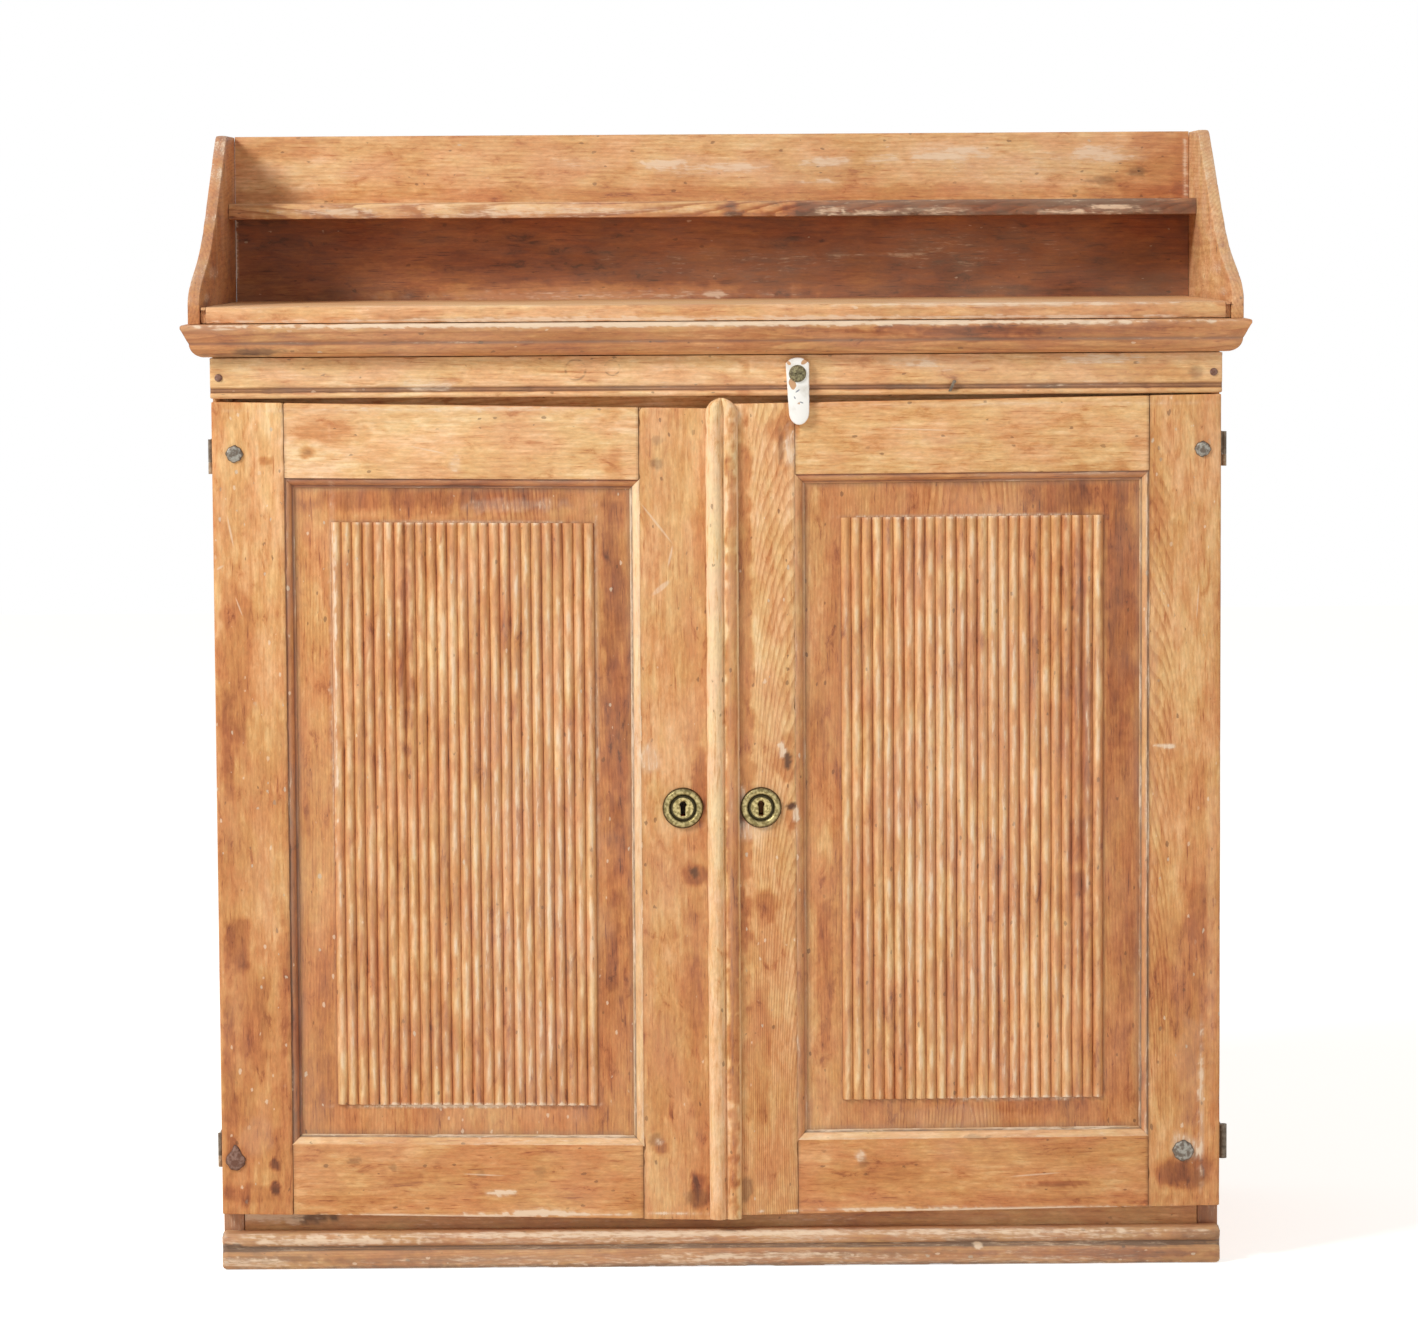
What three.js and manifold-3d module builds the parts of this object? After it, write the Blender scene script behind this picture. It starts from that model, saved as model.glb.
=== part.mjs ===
// Pine buffet cabinet with two reeded doors and an open gallery, in millimetres.
// x runs to the right, y to the back and z up. y = 0 is the front plane of the case.
import * as THREE from 'three';
import { mergeVertices } from 'three/addons/utils/BufferGeometryUtils.js';
import Module from 'manifold-3d';

const wasm = await Module();
wasm.setup();

// Clearances
const gap = 0.3;
const weld = 0.1;
const overrun = 5;

// Case
const caseWidth = 1050;
const caseDepth = 426;
const sideThickness = 22;
const topThickness = 22;
const floorThickness = 18;
const backThickness = 12;
const backBoardCount = 4;
const backBoardSpacing = 1;
const railThickness = 20;
const headRailHeight = 78;
const bottomRailRise = 27;
const boardsOffFloor = 2;
const postWidth = 34;
const postDepth = 30;
const innerShelfThickness = 18;
const innerShelfShare = 0.485;
const innerShelfSetback = 60;
const cleatSize = 20;

// Frieze board over the doors
const friezeHeight = 43;
const friezeBeadHeight = 7;
const friezeGrooveHeight = 4.5;
const friezeGrooveDepth = 2.6;

// Cornice
const corniceHeight = 34.5;
const corniceOverhang = 28;
const ovoloReach = 20;
const ovoloHeight = 15.5;
const corniceStep = 1.2;
const corniceSoffit = 3;
const corniceEdge = 6;
const corniceEdgeRound = 2;

// Plinth
const plinthHeight = 39;
const plinthThickness = 24;
const plinthQuirkHeight = 22.5;
const plinthQuirkWidth = 3;
const plinthQuirkDepth = 4;

// Gallery on top of the case
const galleryHeight = 201;
const galleryThickness = 13;
const gallerySideReach = 22;
const galleryFloorThickness = 17.5;
const galleryFloorProud = 2;
const galleryFloorLip = 4;
const galleryFloorShoulder = 6;
const galleryShelfTop = 126;
const galleryShelfThickness = 18;
const galleryShelfDepth = 84;
const galleryTopWidth = 78;

// Doors
const doorThickness = 22;
const doorClearance = 1;
const doorInset = 0.5;
const doorHeight = 853;
const headClearance = 1;
const meetingGap = 2;
const leftLift = 21;
const rightLift = 23;
const hingeStileWidth = 75.5;
const lockStileWidth = 80.5;
const topRailHeight = 79;
const bottomRailHeight = 75;
const mouldingWidth = 10;
const mouldingStep = 1.3;
const panelRecess = 8;
const panelThickness = 8;
const panelPlay = 2.5;

// Reeded field of a door panel
const reedPitch = 10.95;
const reedDepth = 3;
const fieldRaise = 4;
const fieldSideMargin = 46;
const fieldTopMargin = 45.5;
const fieldBottomMargin = 41;

// Astragal that covers the meeting edges, carried by the right door
const astragalOverlap = 12.5;
const astragalWidth = 34;
const astragalBeadWidth = 19;
const astragalThickness = 10;
const astragalFlatThickness = 7;
const astragalBelow = 3;
const astragalAbove = 6.5;

// Hinges
const stoutKnuckleRadius = 4.5;
const stoutPinRadius = 2.4;
const slimKnuckleRadius = 2.4;
const slimPinRadius = 1.2;
const pinPlay = 0.4;
const knuckleClearance = 0.3;
const knuckleHeight = 36;
const pintleBarrelHeight = 12;
const hingeIron = 3;
const leafLength = 58;
const upperHingeDrop = 57.5;
const lowerHingeRise = 65;
const plateIron = 2.5;
const plateLength = 42;
const plateSetback = 5;
const plateHeight = 36;
const plateNailSpacing = 23;
const plateNailRadius = 4;
const plateNailHeight = 2;

// Rivets that hold the hinge leaves
const rivetShaftRadius = 3;
const rivetHeadHeight = 3.2;
const teardropRise = 17.4;

// Locks and escutcheons
const keyholeShare = 0.5;
const escutcheonRadius = 21.5;
const escutcheonHeight = 5;
const escutcheonRimHeight = 3;
const escutcheonDishRadius = 13.5;
const escutcheonBossRadius = 11;
const escutcheonDishHeight = 2;
const keyRadius = 3;
const keySlotWidth = 3;
const keySlotLength = 11;
const lockWidth = 46;
const lockHeight = 72;
const lockDepth = 13;
const lockPostClearance = 2.5;
const boltLength = 34;
const boltHeight = 14;
const boltThickness = 5;
const boltPlay = 0.4;
const boltTravel = 10;
const mortisePlay = 1.5;

// Turn button and the nails in the frieze
const buttonX = 84;
const buttonRise = 23;
const buttonThickness = 7;
const buttonStandoff = 0.5;
const buttonTopRadius = 17;
const buttonHalfWidth = 13;
const buttonDrop = 53.5;
const buttonEndHeight = 14;
const buttonTaper = 3;
const screwHeadRadius = 9;
const screwHeadHeight = 4;
const screwShaftRadius = 2.5;
const screwDepth = 16;
const screwSlotWidth = 1.6;
const screwSlotDepth = 1.3;
const nailInset = 9;
const nailRise = 22;
const nailHeadRadius = 4;
const nailShaftRadius = 1.5;
const nailHeadHeight = 1.2;
const nailDepth = 14;
const bentNailX = 247;
const bentNailRise = 13.5;
const bentNailDrop = 10;
const bentNailLean = 5;

// Fineness of round shapes
const roundSteps = 28;
const mouldSteps = 6;
const reedSteps = 4;
const curveSteps = 8;

// Parts of a full turn, counted from +a towards +b
const ovoloShares = [0.75, 1];
const roundShares = [0.72, 0.28];
const beadShares = [0.75, 0.25];
const halfTurnShares = [0, 0.5];
const lowerHalfShares = [0.5, 1];
const astragalShares = [0.5, 0.97];
const teardropShares = [0.42, 1.08];

// The two doors hang a little low at their meeting edges, as worn joints let them
const doors = {
  left: {
    name: 'left',
    side: -1,
    bottom: plinthHeight + leftLift,
    outerDrop: 10,
    innerDrop: 5.5,
    keyholeInset: 36.5,
    rivets: {
      upper: { inset: 23.8, rise: 3.5, radius: 9 },
      lower: { inset: 15, rise: -7.8, radius: 10.9, teardrop: true },
    },
    knuckles: { upper: slimKnuckleRadius, lower: slimKnuckleRadius },
    pins: { upper: slimPinRadius, lower: slimPinRadius },
  },
  right: {
    name: 'right',
    side: 1,
    bottom: plinthHeight + rightLift,
    outerDrop: 7.5,
    innerDrop: 2.5,
    keyholeInset: 43,
    rivets: {
      upper: { inset: 19.8, rise: 0.5, radius: 8.3 },
      lower: { inset: 38.7, rise: -6.4, radius: 11.3 },
    },
    knuckles: { upper: slimKnuckleRadius, lower: stoutKnuckleRadius },
    pins: { upper: slimPinRadius, lower: stoutPinRadius },
  },
};

// Places that follow from the sizes above
const caseHalf = caseWidth / 2;
const insideHalf = caseHalf - sideThickness;
const friezeUnderside = doors.right.bottom + doorHeight + headClearance;
const corniceUnderside = friezeUnderside + friezeHeight;
const corniceTop = corniceUnderside + corniceHeight;
const topUnderside = corniceTop - topThickness;
const headRailUnderside = topUnderside - headRailHeight;
const bottomRailTop = plinthHeight + bottomRailRise;
const innerShelfTop = bottomRailTop + innerShelfShare * (topUnderside - bottomRailTop);
const backFront = caseDepth - backThickness;
const doorBack = -doorClearance;
const doorFront = doorBack - doorThickness;
const galleryBase = corniceTop + gap;
const galleryOuter = caseHalf + gallerySideReach;
const galleryInner = galleryOuter - galleryThickness;
const galleryFront = doorFront - galleryFloorProud;
const galleryBackFront = caseDepth - galleryThickness;
const doorEdge = caseHalf - doorInset;
const doorWidth = doorEdge - meetingGap / 2;
const lockJoint = doorWidth - lockStileWidth;
const hingeAxisY = doorBack - hingeIron / 2;
const panelFront = doorFront + panelRecess;
const panelBack = panelFront + panelThickness;
const keyholeHeight = doors.left.bottom + keyholeShare * doorHeight;
const boltTip = postWidth / 2 + lockPostClearance;
const boltCentreY = doorBack + gap + lockDepth / 2;
const mortiseReach = boltTravel - lockPostClearance + mortisePlay;
const pintleTop = pintleBarrelHeight - knuckleHeight / 2;
const buttonPivotHeight = friezeUnderside + buttonRise;
const nailHeight = friezeUnderside + nailRise;
const bentNailHeight = friezeUnderside + bentNailRise;

// Colours of the finishes
const pineLight = 0xdfb27c;
const pineWarm = 0xcb9258;
const pineRed = 0xa8633a;
const pineDark = 0x7b4a30;
const pineInside = 0xc79a68;
const ironGrey = 0x6f6a62;
const ironDark = 0x4a4036;
const brassOld = 0x8f8248;
const paintWhite = 0xf1efe9;

function wood(colour) {
  return new THREE.MeshStandardMaterial({ color: colour, roughness: 0.7, metalness: 0 });
}

function metal(colour) {
  return new THREE.MeshStandardMaterial({ color: colour, roughness: 0.5, metalness: 0.9 });
}

// Shape helpers
function limitAt(limit, a, b) {
  return typeof limit === 'function' ? limit(a, b) : limit;
}

// A prism along one axis whose two ends may slope: each limit is a number or a function of the outline
function prism(outline, axis, from, to) {
  const shape = new THREE.Shape(outline.map(([a, b]) => new THREE.Vector2(a, b)));
  const geometry = new THREE.ExtrudeGeometry(shape, { depth: 1, bevelEnabled: false });
  const position = geometry.attributes.position;
  for (let i = 0; i < position.count; i += 1) {
    const a = position.getX(i);
    const b = position.getY(i);
    const share = position.getZ(i);
    const start = limitAt(from, a, b);
    const end = limitAt(to, a, b);
    const along = start + (end - start) * share;
    const back = end + (start - end) * share;
    if (axis === 'x') position.setXYZ(i, along, a, b);
    if (axis === 'y') position.setXYZ(i, a, back, b);
    if (axis === 'z') position.setXYZ(i, a, b, along);
  }
  geometry.computeVertexNormals();
  return geometry;
}

function rectangle(a0, a1, b0, b1) {
  return [[a0, b0], [a1, b0], [a1, b1], [a0, b1]];
}

function board([x0, x1], [y0, y1], [z0, z1]) {
  const geometry = new THREE.BoxGeometry(x1 - x0, y1 - y0, z1 - z0);
  geometry.translate((x0 + x1) / 2, (y0 + y1) / 2, (z0 + z1) / 2);
  return geometry;
}

function arc(centreA, centreB, radiusA, radiusB, [fromShare, toShare], steps) {
  const points = [];
  for (let i = 0; i <= steps; i += 1) {
    const angle = 2 * Math.PI * (fromShare + ((toShare - fromShare) * i) / steps);
    points.push([centreA + radiusA * Math.cos(angle), centreB + radiusB * Math.sin(angle)]);
  }
  return points;
}

function circle(a, b, radius, steps) {
  return arc(a, b, radius, radius, [0, 1 - 1 / steps], steps - 1);
}

// A turned piece about an axis along y; its profile runs from front to back as [radius, y]
function turned(profile, x, z) {
  const points = profile.map(([radius, y]) => new THREE.Vector2(radius, y));
  const geometry = new THREE.LatheGeometry(points, roundSteps);
  geometry.translate(x, 0, z);
  return geometry;
}

function rod(x, z, radius, y0, y1) {
  return turned([[0, y0], [radius, y0], [radius, y1], [0, y1]], x, z);
}

function uprightRod(x, y, radius, z0, z1) {
  return prism(circle(x, y, radius, roundSteps), 'z', z0, z1);
}

function solid(geometry) {
  const bare = geometry.clone();
  bare.deleteAttribute('normal');
  bare.deleteAttribute('uv');
  const welded = mergeVertices(bare);
  const vertProperties = new Float32Array(welded.attributes.position.array);
  const triVerts = new Uint32Array(welded.index.array);
  return new wasm.Manifold(new wasm.Mesh({ numProp: 3, vertProperties, triVerts }));
}

function geometryOf(manifold) {
  const mesh = manifold.getMesh();
  const geometry = new THREE.BufferGeometry();
  geometry.setAttribute('position', new THREE.BufferAttribute(mesh.vertProperties, 3));
  geometry.setIndex(new THREE.BufferAttribute(mesh.triVerts, 1));
  geometry.computeVertexNormals();
  return geometry;
}

function joined(first, ...others) {
  return others.reduce((whole, geometry) => whole.add(solid(geometry)), solid(first));
}

function cut(whole, ...cutters) {
  return cutters.reduce((rest, geometry) => rest.subtract(solid(geometry)), whole);
}

function named(name, geometry, material) {
  const mesh = new THREE.Mesh(geometry, material);
  mesh.name = name;
  return mesh;
}

// Case
function sidePanel(name, side) {
  const x = [side * insideHalf, side * caseHalf].sort((a, b) => a - b);
  return named(name, board(x, [0, caseDepth], [0, topUnderside - gap]), wood(pineWarm));
}

function caseTop() {
  const x = [-caseHalf, caseHalf];
  return named('case_top', board(x, [0, caseDepth], [topUnderside, corniceTop]), wood(pineInside));
}

function caseFloor() {
  const x = [-insideHalf + gap, insideHalf - gap];
  const y = [railThickness + gap, backFront - gap];
  return named('case_floor', board(x, y, [bottomRailTop - floorThickness, bottomRailTop]), wood(pineInside));
}

function rail(name, z0, z1, colour) {
  const x = [-insideHalf + gap, insideHalf - gap];
  return named(name, board(x, [0, railThickness], [z0, z1]), wood(colour));
}

function backBoards() {
  const width = 2 * (insideHalf - gap);
  const pitch = (width + backBoardSpacing) / backBoardCount;
  const z = [boardsOffFloor, topUnderside - gap];
  const boards = [];
  for (let i = 0; i < backBoardCount; i += 1) {
    const x0 = -width / 2 + i * pitch;
    const x = [x0, x0 + pitch - backBoardSpacing];
    boards.push(named(`back_board_${i + 1}`, board(x, [backFront, caseDepth], z), wood(pineInside)));
  }
  return boards;
}

// The middle post that both lock bolts shoot into
function centrePost() {
  const half = postWidth / 2;
  const post = solid(board([-half, half], [0, postDepth], [bottomRailTop + gap, headRailUnderside - gap]));
  const y = [boltCentreY - boltThickness / 2 - mortisePlay, boltCentreY + boltThickness / 2 + mortisePlay];
  const z = [keyholeHeight - boltHeight / 2 - mortisePlay, keyholeHeight + boltHeight / 2 + mortisePlay];
  const mortises = [-1, 1].map((side) => {
    const x = [side * (half - mortiseReach), side * (half + overrun)].sort((a, b) => a - b);
    return board(x, y, z);
  });
  return named('centre_post', geometryOf(cut(post, ...mortises)), wood(pineInside));
}

function innerShelf() {
  const x = [-insideHalf + gap, insideHalf - gap];
  const z = [innerShelfTop - innerShelfThickness, innerShelfTop];
  return named('inner_shelf', board(x, [innerShelfSetback, backFront - gap], z), wood(pineInside));
}

function shelfCleats() {
  const top = innerShelfTop - innerShelfThickness - gap;
  const z = [top - cleatSize, top];
  const outer = insideHalf - gap;
  const ySide = [innerShelfSetback, backFront - gap];
  const yBack = [backFront - gap - cleatSize, backFront - gap];
  const inner = outer - cleatSize;
  return [
    named('shelf_cleat_left', board([-outer, -inner], ySide, z), wood(pineInside)),
    named('shelf_cleat_right', board([inner, outer], ySide, z), wood(pineInside)),
    named('shelf_cleat_back', board([gap - inner, inner - gap], yBack, z), wood(pineInside)),
  ];
}

// Frieze with a bead run along its lower edge, bored for the button's screw and the nails
function friezeOutline() {
  const beadTop = friezeUnderside + friezeBeadHeight;
  const beadRadius = friezeBeadHeight / 2;
  const grooveFront = doorFront + friezeGrooveDepth;
  const beadCentre = [doorFront + beadRadius, friezeUnderside + beadRadius];
  const bead = arc(...beadCentre, beadRadius, beadRadius, beadShares, mouldSteps);
  return [
    [-gap, friezeUnderside],
    ...bead,
    [grooveFront + friezeGrooveDepth, beadTop],
    [grooveFront, beadTop + friezeGrooveHeight / 2],
    [doorFront, beadTop + friezeGrooveHeight],
    [doorFront, corniceUnderside - gap],
    [-gap, corniceUnderside - gap],
  ];
}

function frieze() {
  const whole = solid(prism(friezeOutline(), 'x', -caseHalf, caseHalf));
  const front = doorFront - overrun;
  const holes = [
    rod(buttonX, buttonPivotHeight, screwShaftRadius + gap, front, doorFront + screwDepth + gap),
    rod(-caseHalf + nailInset, nailHeight, nailShaftRadius + gap, front, doorFront + nailDepth + gap),
    rod(caseHalf - nailInset, nailHeight, nailShaftRadius + gap, front, doorFront + nailDepth + gap),
    rod(bentNailX, bentNailHeight, nailShaftRadius + gap, front, doorFront + nailDepth + gap),
  ];
  return named('frieze_board', geometryOf(cut(whole, ...holes)), wood(pineLight));
}

function friezeNail(name, x) {
  const profile = [
    [0, doorFront - gap - nailHeadHeight],
    [nailHeadRadius / 2, doorFront - gap - nailHeadHeight],
    [nailHeadRadius, doorFront - gap - nailHeadHeight / 2],
    [nailHeadRadius, doorFront - gap],
    [nailShaftRadius, doorFront - gap],
    [nailShaftRadius, doorFront + nailDepth],
    [0, doorFront + nailDepth],
  ];
  return named(name, turned(profile, x, nailHeight), metal(ironDark));
}

function bentNail() {
  const out = doorFront - gap - 2 * nailShaftRadius;
  const shank = rod(bentNailX, bentNailHeight, nailShaftRadius, out, doorFront + nailDepth);
  const hanging = [
    [bentNailX - nailShaftRadius, bentNailHeight + nailShaftRadius],
    [bentNailX - bentNailLean - nailShaftRadius, bentNailHeight - bentNailDrop],
    [bentNailX - bentNailLean + nailShaftRadius, bentNailHeight - bentNailDrop],
    [bentNailX + nailShaftRadius, bentNailHeight + nailShaftRadius],
  ];
  const tail = prism(hanging, 'y', out, out + 2 * nailShaftRadius);
  return named('bent_nail', geometryOf(joined(shank, tail)), metal(ironGrey));
}

// Cornice outline as [overhang, height]: an ovolo below, a sloping step and a square edge on top
function corniceOutline() {
  const stepTop = ovoloHeight + corniceStep;
  const edgeBottom = corniceHeight - corniceEdge;
  const ovolo = arc(corniceSoffit, ovoloHeight, ovoloReach - corniceSoffit, ovoloHeight, ovoloShares, mouldSteps);
  return [
    [-weld, 0],
    ...ovolo,
    [ovoloReach + corniceStep, stepTop],
    [corniceOverhang, edgeBottom],
    [corniceOverhang, corniceHeight - corniceEdgeRound],
    [corniceOverhang - corniceEdgeRound, corniceHeight],
    [-weld, corniceHeight],
  ];
}

function corniceFront() {
  const block = board([-caseHalf, caseHalf], [doorFront, -gap], [corniceUnderside, corniceTop]);
  const outline = corniceOutline().map(([out, up]) => [doorFront - out, corniceUnderside + up]);
  const end = (y) => caseHalf + doorFront - y - gap;
  const moulding = prism(outline, 'x', (y) => -end(y), end);
  return named('cornice_front', geometryOf(joined(block, moulding)), wood(pineLight));
}

function corniceReturn(name, side) {
  const inner = caseHalf + gap;
  const outline = corniceOutline().map(([out, up]) => [side * (inner + Math.max(out, 0)), corniceUnderside + up]);
  const mitre = (x) => doorFront - (side * x - caseHalf) + gap;
  return named(name, prism(outline, 'y', mitre, caseDepth), wood(pineWarm));
}

// Plinth: a round over a quirk over a tall round
function plinth() {
  const back = -gap;
  const front = back - plinthThickness;
  const upperHeight = plinthHeight - plinthQuirkHeight - plinthQuirkWidth / 2;
  const lowerHeight = plinthQuirkHeight - plinthQuirkWidth / 2;
  const upperCentre = plinthHeight - upperHeight / 2;
  const quirkY = front + plinthQuirkDepth;
  const outline = [
    [back, 0],
    [quirkY, 0],
    ...arc(quirkY, lowerHeight / 2, plinthQuirkDepth, lowerHeight / 2, roundShares, mouldSteps),
    [quirkY, lowerHeight],
    [quirkY, upperCentre - upperHeight / 2],
    ...arc(quirkY, upperCentre, plinthQuirkDepth, upperHeight / 2, roundShares, mouldSteps),
    [quirkY, plinthHeight],
    [back, plinthHeight],
  ];
  return named('plinth', prism(outline, 'x', -caseHalf, caseHalf), wood(pineWarm));
}

// Gallery
function galleryFloor() {
  const top = galleryBase + galleryFloorThickness;
  const lipUnderside = top - galleryFloorLip;
  const shoulder = galleryInner - galleryFloorShoulder;
  const edge = galleryInner - gap;
  const outline = [
    [-shoulder, galleryBase],
    [shoulder, galleryBase],
    [shoulder, lipUnderside],
    [edge, lipUnderside],
    [edge, top],
    [-edge, top],
    [-edge, lipUnderside],
    [-shoulder, lipUnderside],
  ];
  return named('gallery_floor', prism(outline, 'y', galleryFront, galleryBackFront - gap), wood(pineLight));
}

// Side outline as [y, z]: a rounded shoulder at the front that sweeps back and up to the top
function gallerySideOutline() {
  const depth = caseDepth - galleryFront;
  const top = galleryBase + galleryHeight;
  const at = (depthShare, heightShare) => new THREE.Vector2(
    galleryFront + depthShare * depth,
    galleryBase + heightShare * galleryHeight,
  );
  const shoulderShares = [[0, 0.11], [0, 0.2], [0.13, 0.24], [0.26, 0.34]];
  const sweepShares = [[0.26, 0.34], [0.41, 0.46], [0.58, 0.74], [0.725, 0.94]];
  const crownShares = [[0.725, 0.94], [0.765, 0.995]];
  const shoulder = new THREE.CubicBezierCurve(...shoulderShares.map((pair) => at(...pair)));
  const sweep = new THREE.CubicBezierCurve(...sweepShares.map((pair) => at(...pair)));
  const topFront = new THREE.Vector2(caseDepth - galleryTopWidth, top);
  const crown = new THREE.QuadraticBezierCurve(...crownShares.map((pair) => at(...pair)), topFront);
  const points = [
    ...shoulder.getPoints(curveSteps),
    ...sweep.getPoints(curveSteps).slice(1),
    ...crown.getPoints(curveSteps / 2).slice(1),
  ];
  return [
    [caseDepth, galleryBase],
    [galleryFront, galleryBase],
    ...points.map((point) => [point.x, point.y]),
    [caseDepth, top],
  ];
}

function gallerySide(name, side) {
  const [x0, x1] = [side * galleryInner, side * galleryOuter].sort((a, b) => a - b);
  return named(name, prism(gallerySideOutline(), 'x', x0, x1), wood(pineLight));
}

function galleryBack() {
  const x = [-galleryInner + gap, galleryInner - gap];
  const z = [galleryBase, galleryBase + galleryHeight];
  return named('gallery_back', board(x, [galleryBackFront, caseDepth], z), wood(pineRed));
}

function galleryShelf() {
  const x = [-galleryInner + gap, galleryInner - gap];
  const y = [galleryBackFront - gap - galleryShelfDepth, galleryBackFront - gap];
  const top = galleryBase + galleryShelfTop;
  return named('gallery_shelf', board(x, y, [top - galleryShelfThickness, top]), wood(pineLight));
}

// Doors: u is the distance from the hinge edge, x follows from it on either side
function doorX(door, u) {
  return door.side * (doorEdge - u);
}

function doorU(door, x) {
  return doorEdge - door.side * x;
}

function innerDropAt(door, u) {
  return (door.innerDrop * u) / doorWidth;
}

function outerLine(door, height) {
  return (u) => door.bottom + height - (door.outerDrop * u) / doorWidth;
}

function innerLine(door, height) {
  return (u) => door.bottom + height - innerDropAt(door, u);
}

// Lets straight work follow the sag of the door it belongs to
function sagged(geometry, door) {
  const position = geometry.attributes.position;
  for (let i = 0; i < position.count; i += 1) {
    const drop = innerDropAt(door, doorU(door, position.getX(i)));
    position.setZ(i, position.getZ(i) - drop);
  }
  geometry.computeVertexNormals();
  return geometry;
}

// Moulding along an opening as [distance from the joint line, y]
function frontLip() {
  const lipBack = panelFront - gap;
  const startY = doorFront + mouldingStep;
  const round = arc(mouldingStep, lipBack, mouldingWidth - mouldingStep, lipBack - startY, ovoloShares, mouldSteps);
  return [[-weld, doorFront], [mouldingStep, doorFront], ...round, [-weld, lipBack]];
}

function backLip() {
  return rectangle(-weld, mouldingWidth, panelBack + gap, doorBack);
}

function stileLips(door, jointU, direction) {
  const x = (d) => doorX(door, jointU + direction * d);
  const distance = (xValue) => direction * (doorU(door, xValue) - jointU);
  const bottom = door.bottom + bottomRailHeight;
  const top = door.bottom + doorHeight - topRailHeight;
  return [frontLip(), backLip()].map((profile) => {
    const outline = profile.map(([d, y]) => [x(d), y]);
    const from = (xValue) => bottom + distance(xValue) + gap;
    const to = (xValue) => top - distance(xValue) - gap;
    return sagged(prism(outline, 'z', from, to), door);
  });
}

function railLips(door, jointHeight, direction) {
  const joint = door.bottom + jointHeight;
  return [frontLip(), backLip()].map((profile) => {
    const outline = profile.map(([d, y]) => [y, joint + direction * d]);
    const ends = (y, z) => {
      const distance = direction * (z - joint);
      const hingeEnd = doorX(door, hingeStileWidth + distance + 2 * gap);
      const lockEnd = doorX(door, lockJoint - distance - 2 * gap);
      return [hingeEnd, lockEnd].sort((a, b) => a - b);
    };
    return sagged(prism(outline, 'x', (y, z) => ends(y, z)[0], (y, z) => ends(y, z)[1]), door);
  });
}

function doorBoard(door, u0, u1, lower, upper) {
  const outline = [
    [doorX(door, u0), lower(u0)],
    [doorX(door, u1), lower(u1)],
    [doorX(door, u1), upper(u1)],
    [doorX(door, u0), upper(u0)],
  ];
  return prism(outline, 'y', doorFront, doorBack);
}

// The pins of a door share one upright axis, so the stouter knuckle sets its distance
function hingeAxisX(door) {
  const knuckle = Math.max(door.knuckles.upper, door.knuckles.lower);
  return door.side * (doorEdge + knuckle + knuckleClearance);
}

function hinges(door) {
  const heights = { upper: door.bottom + doorHeight - upperHingeDrop, lower: door.bottom + lowerHingeRise };
  return Object.entries(heights).map(([name, height]) => ({
    name,
    height,
    knuckle: door.knuckles[name],
    pin: door.pins[name],
    rivet: door.rivets[name],
    rivetHeight: height + door.rivets[name].rise,
  }));
}

function rivetX(door, hinge) {
  return doorX(door, hinge.rivet.inset);
}

function hingeStile(door) {
  const flat = doorBoard(door, 0, hingeStileWidth, outerLine(door, 0), outerLine(door, doorHeight));
  const whole = joined(flat, ...stileLips(door, hingeStileWidth, 1));
  const cutters = hinges(door).flatMap((hinge) => {
    const x = [doorX(door, -overrun), doorX(door, leafLength + gap)].sort((a, b) => a - b);
    const y = [doorBack - hingeIron - gap, doorBack + overrun];
    const half = knuckleHeight / 2 + gap;
    const pocket = board(x, y, [hinge.height - half, hinge.height + half]);
    const hole = rod(rivetX(door, hinge), hinge.rivetHeight, rivetShaftRadius + gap, doorFront - overrun, overrun);
    return [pocket, hole];
  });
  return named(`${door.name}_door_hinge_stile`, geometryOf(cut(whole, ...cutters)), wood(pineWarm));
}

function keyholeOutline(x, grow) {
  const head = circle(x, keyholeHeight, keyRadius + grow, curveSteps);
  const slot = rectangle(
    x - keySlotWidth / 2 - grow,
    x + keySlotWidth / 2 + grow,
    keyholeHeight - keySlotLength - grow,
    keyholeHeight,
  );
  return [head, slot];
}

function keyholeX(door) {
  return door.side * (meetingGap / 2 + door.keyholeInset);
}

function keyholeCutters(door, grow, y0, y1) {
  return keyholeOutline(keyholeX(door), grow).map((outline) => prism(outline, 'y', y0, y1));
}

function lockStile(door) {
  const flat = doorBoard(door, lockJoint, doorWidth, outerLine(door, 0), outerLine(door, doorHeight));
  const whole = joined(flat, ...stileLips(door, lockJoint, -1));
  const cutters = keyholeCutters(door, gap, doorFront - overrun, doorBack + overrun);
  return named(`${door.name}_door_lock_stile`, geometryOf(cut(whole, ...cutters)), wood(pineWarm));
}

function topRail(door) {
  const lower = innerLine(door, doorHeight - topRailHeight);
  const flat = doorBoard(door, hingeStileWidth + gap, lockJoint - gap, lower, outerLine(door, doorHeight));
  const whole = joined(flat, ...railLips(door, doorHeight - topRailHeight, -1));
  return named(`${door.name}_door_top_rail`, geometryOf(whole), wood(pineLight));
}

function bottomRail(door) {
  const upper = innerLine(door, bottomRailHeight);
  const flat = doorBoard(door, hingeStileWidth + gap, lockJoint - gap, outerLine(door, 0), upper);
  const whole = joined(flat, ...railLips(door, bottomRailHeight, 1));
  return named(`${door.name}_door_bottom_rail`, geometryOf(whole), wood(pineWarm));
}

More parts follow.
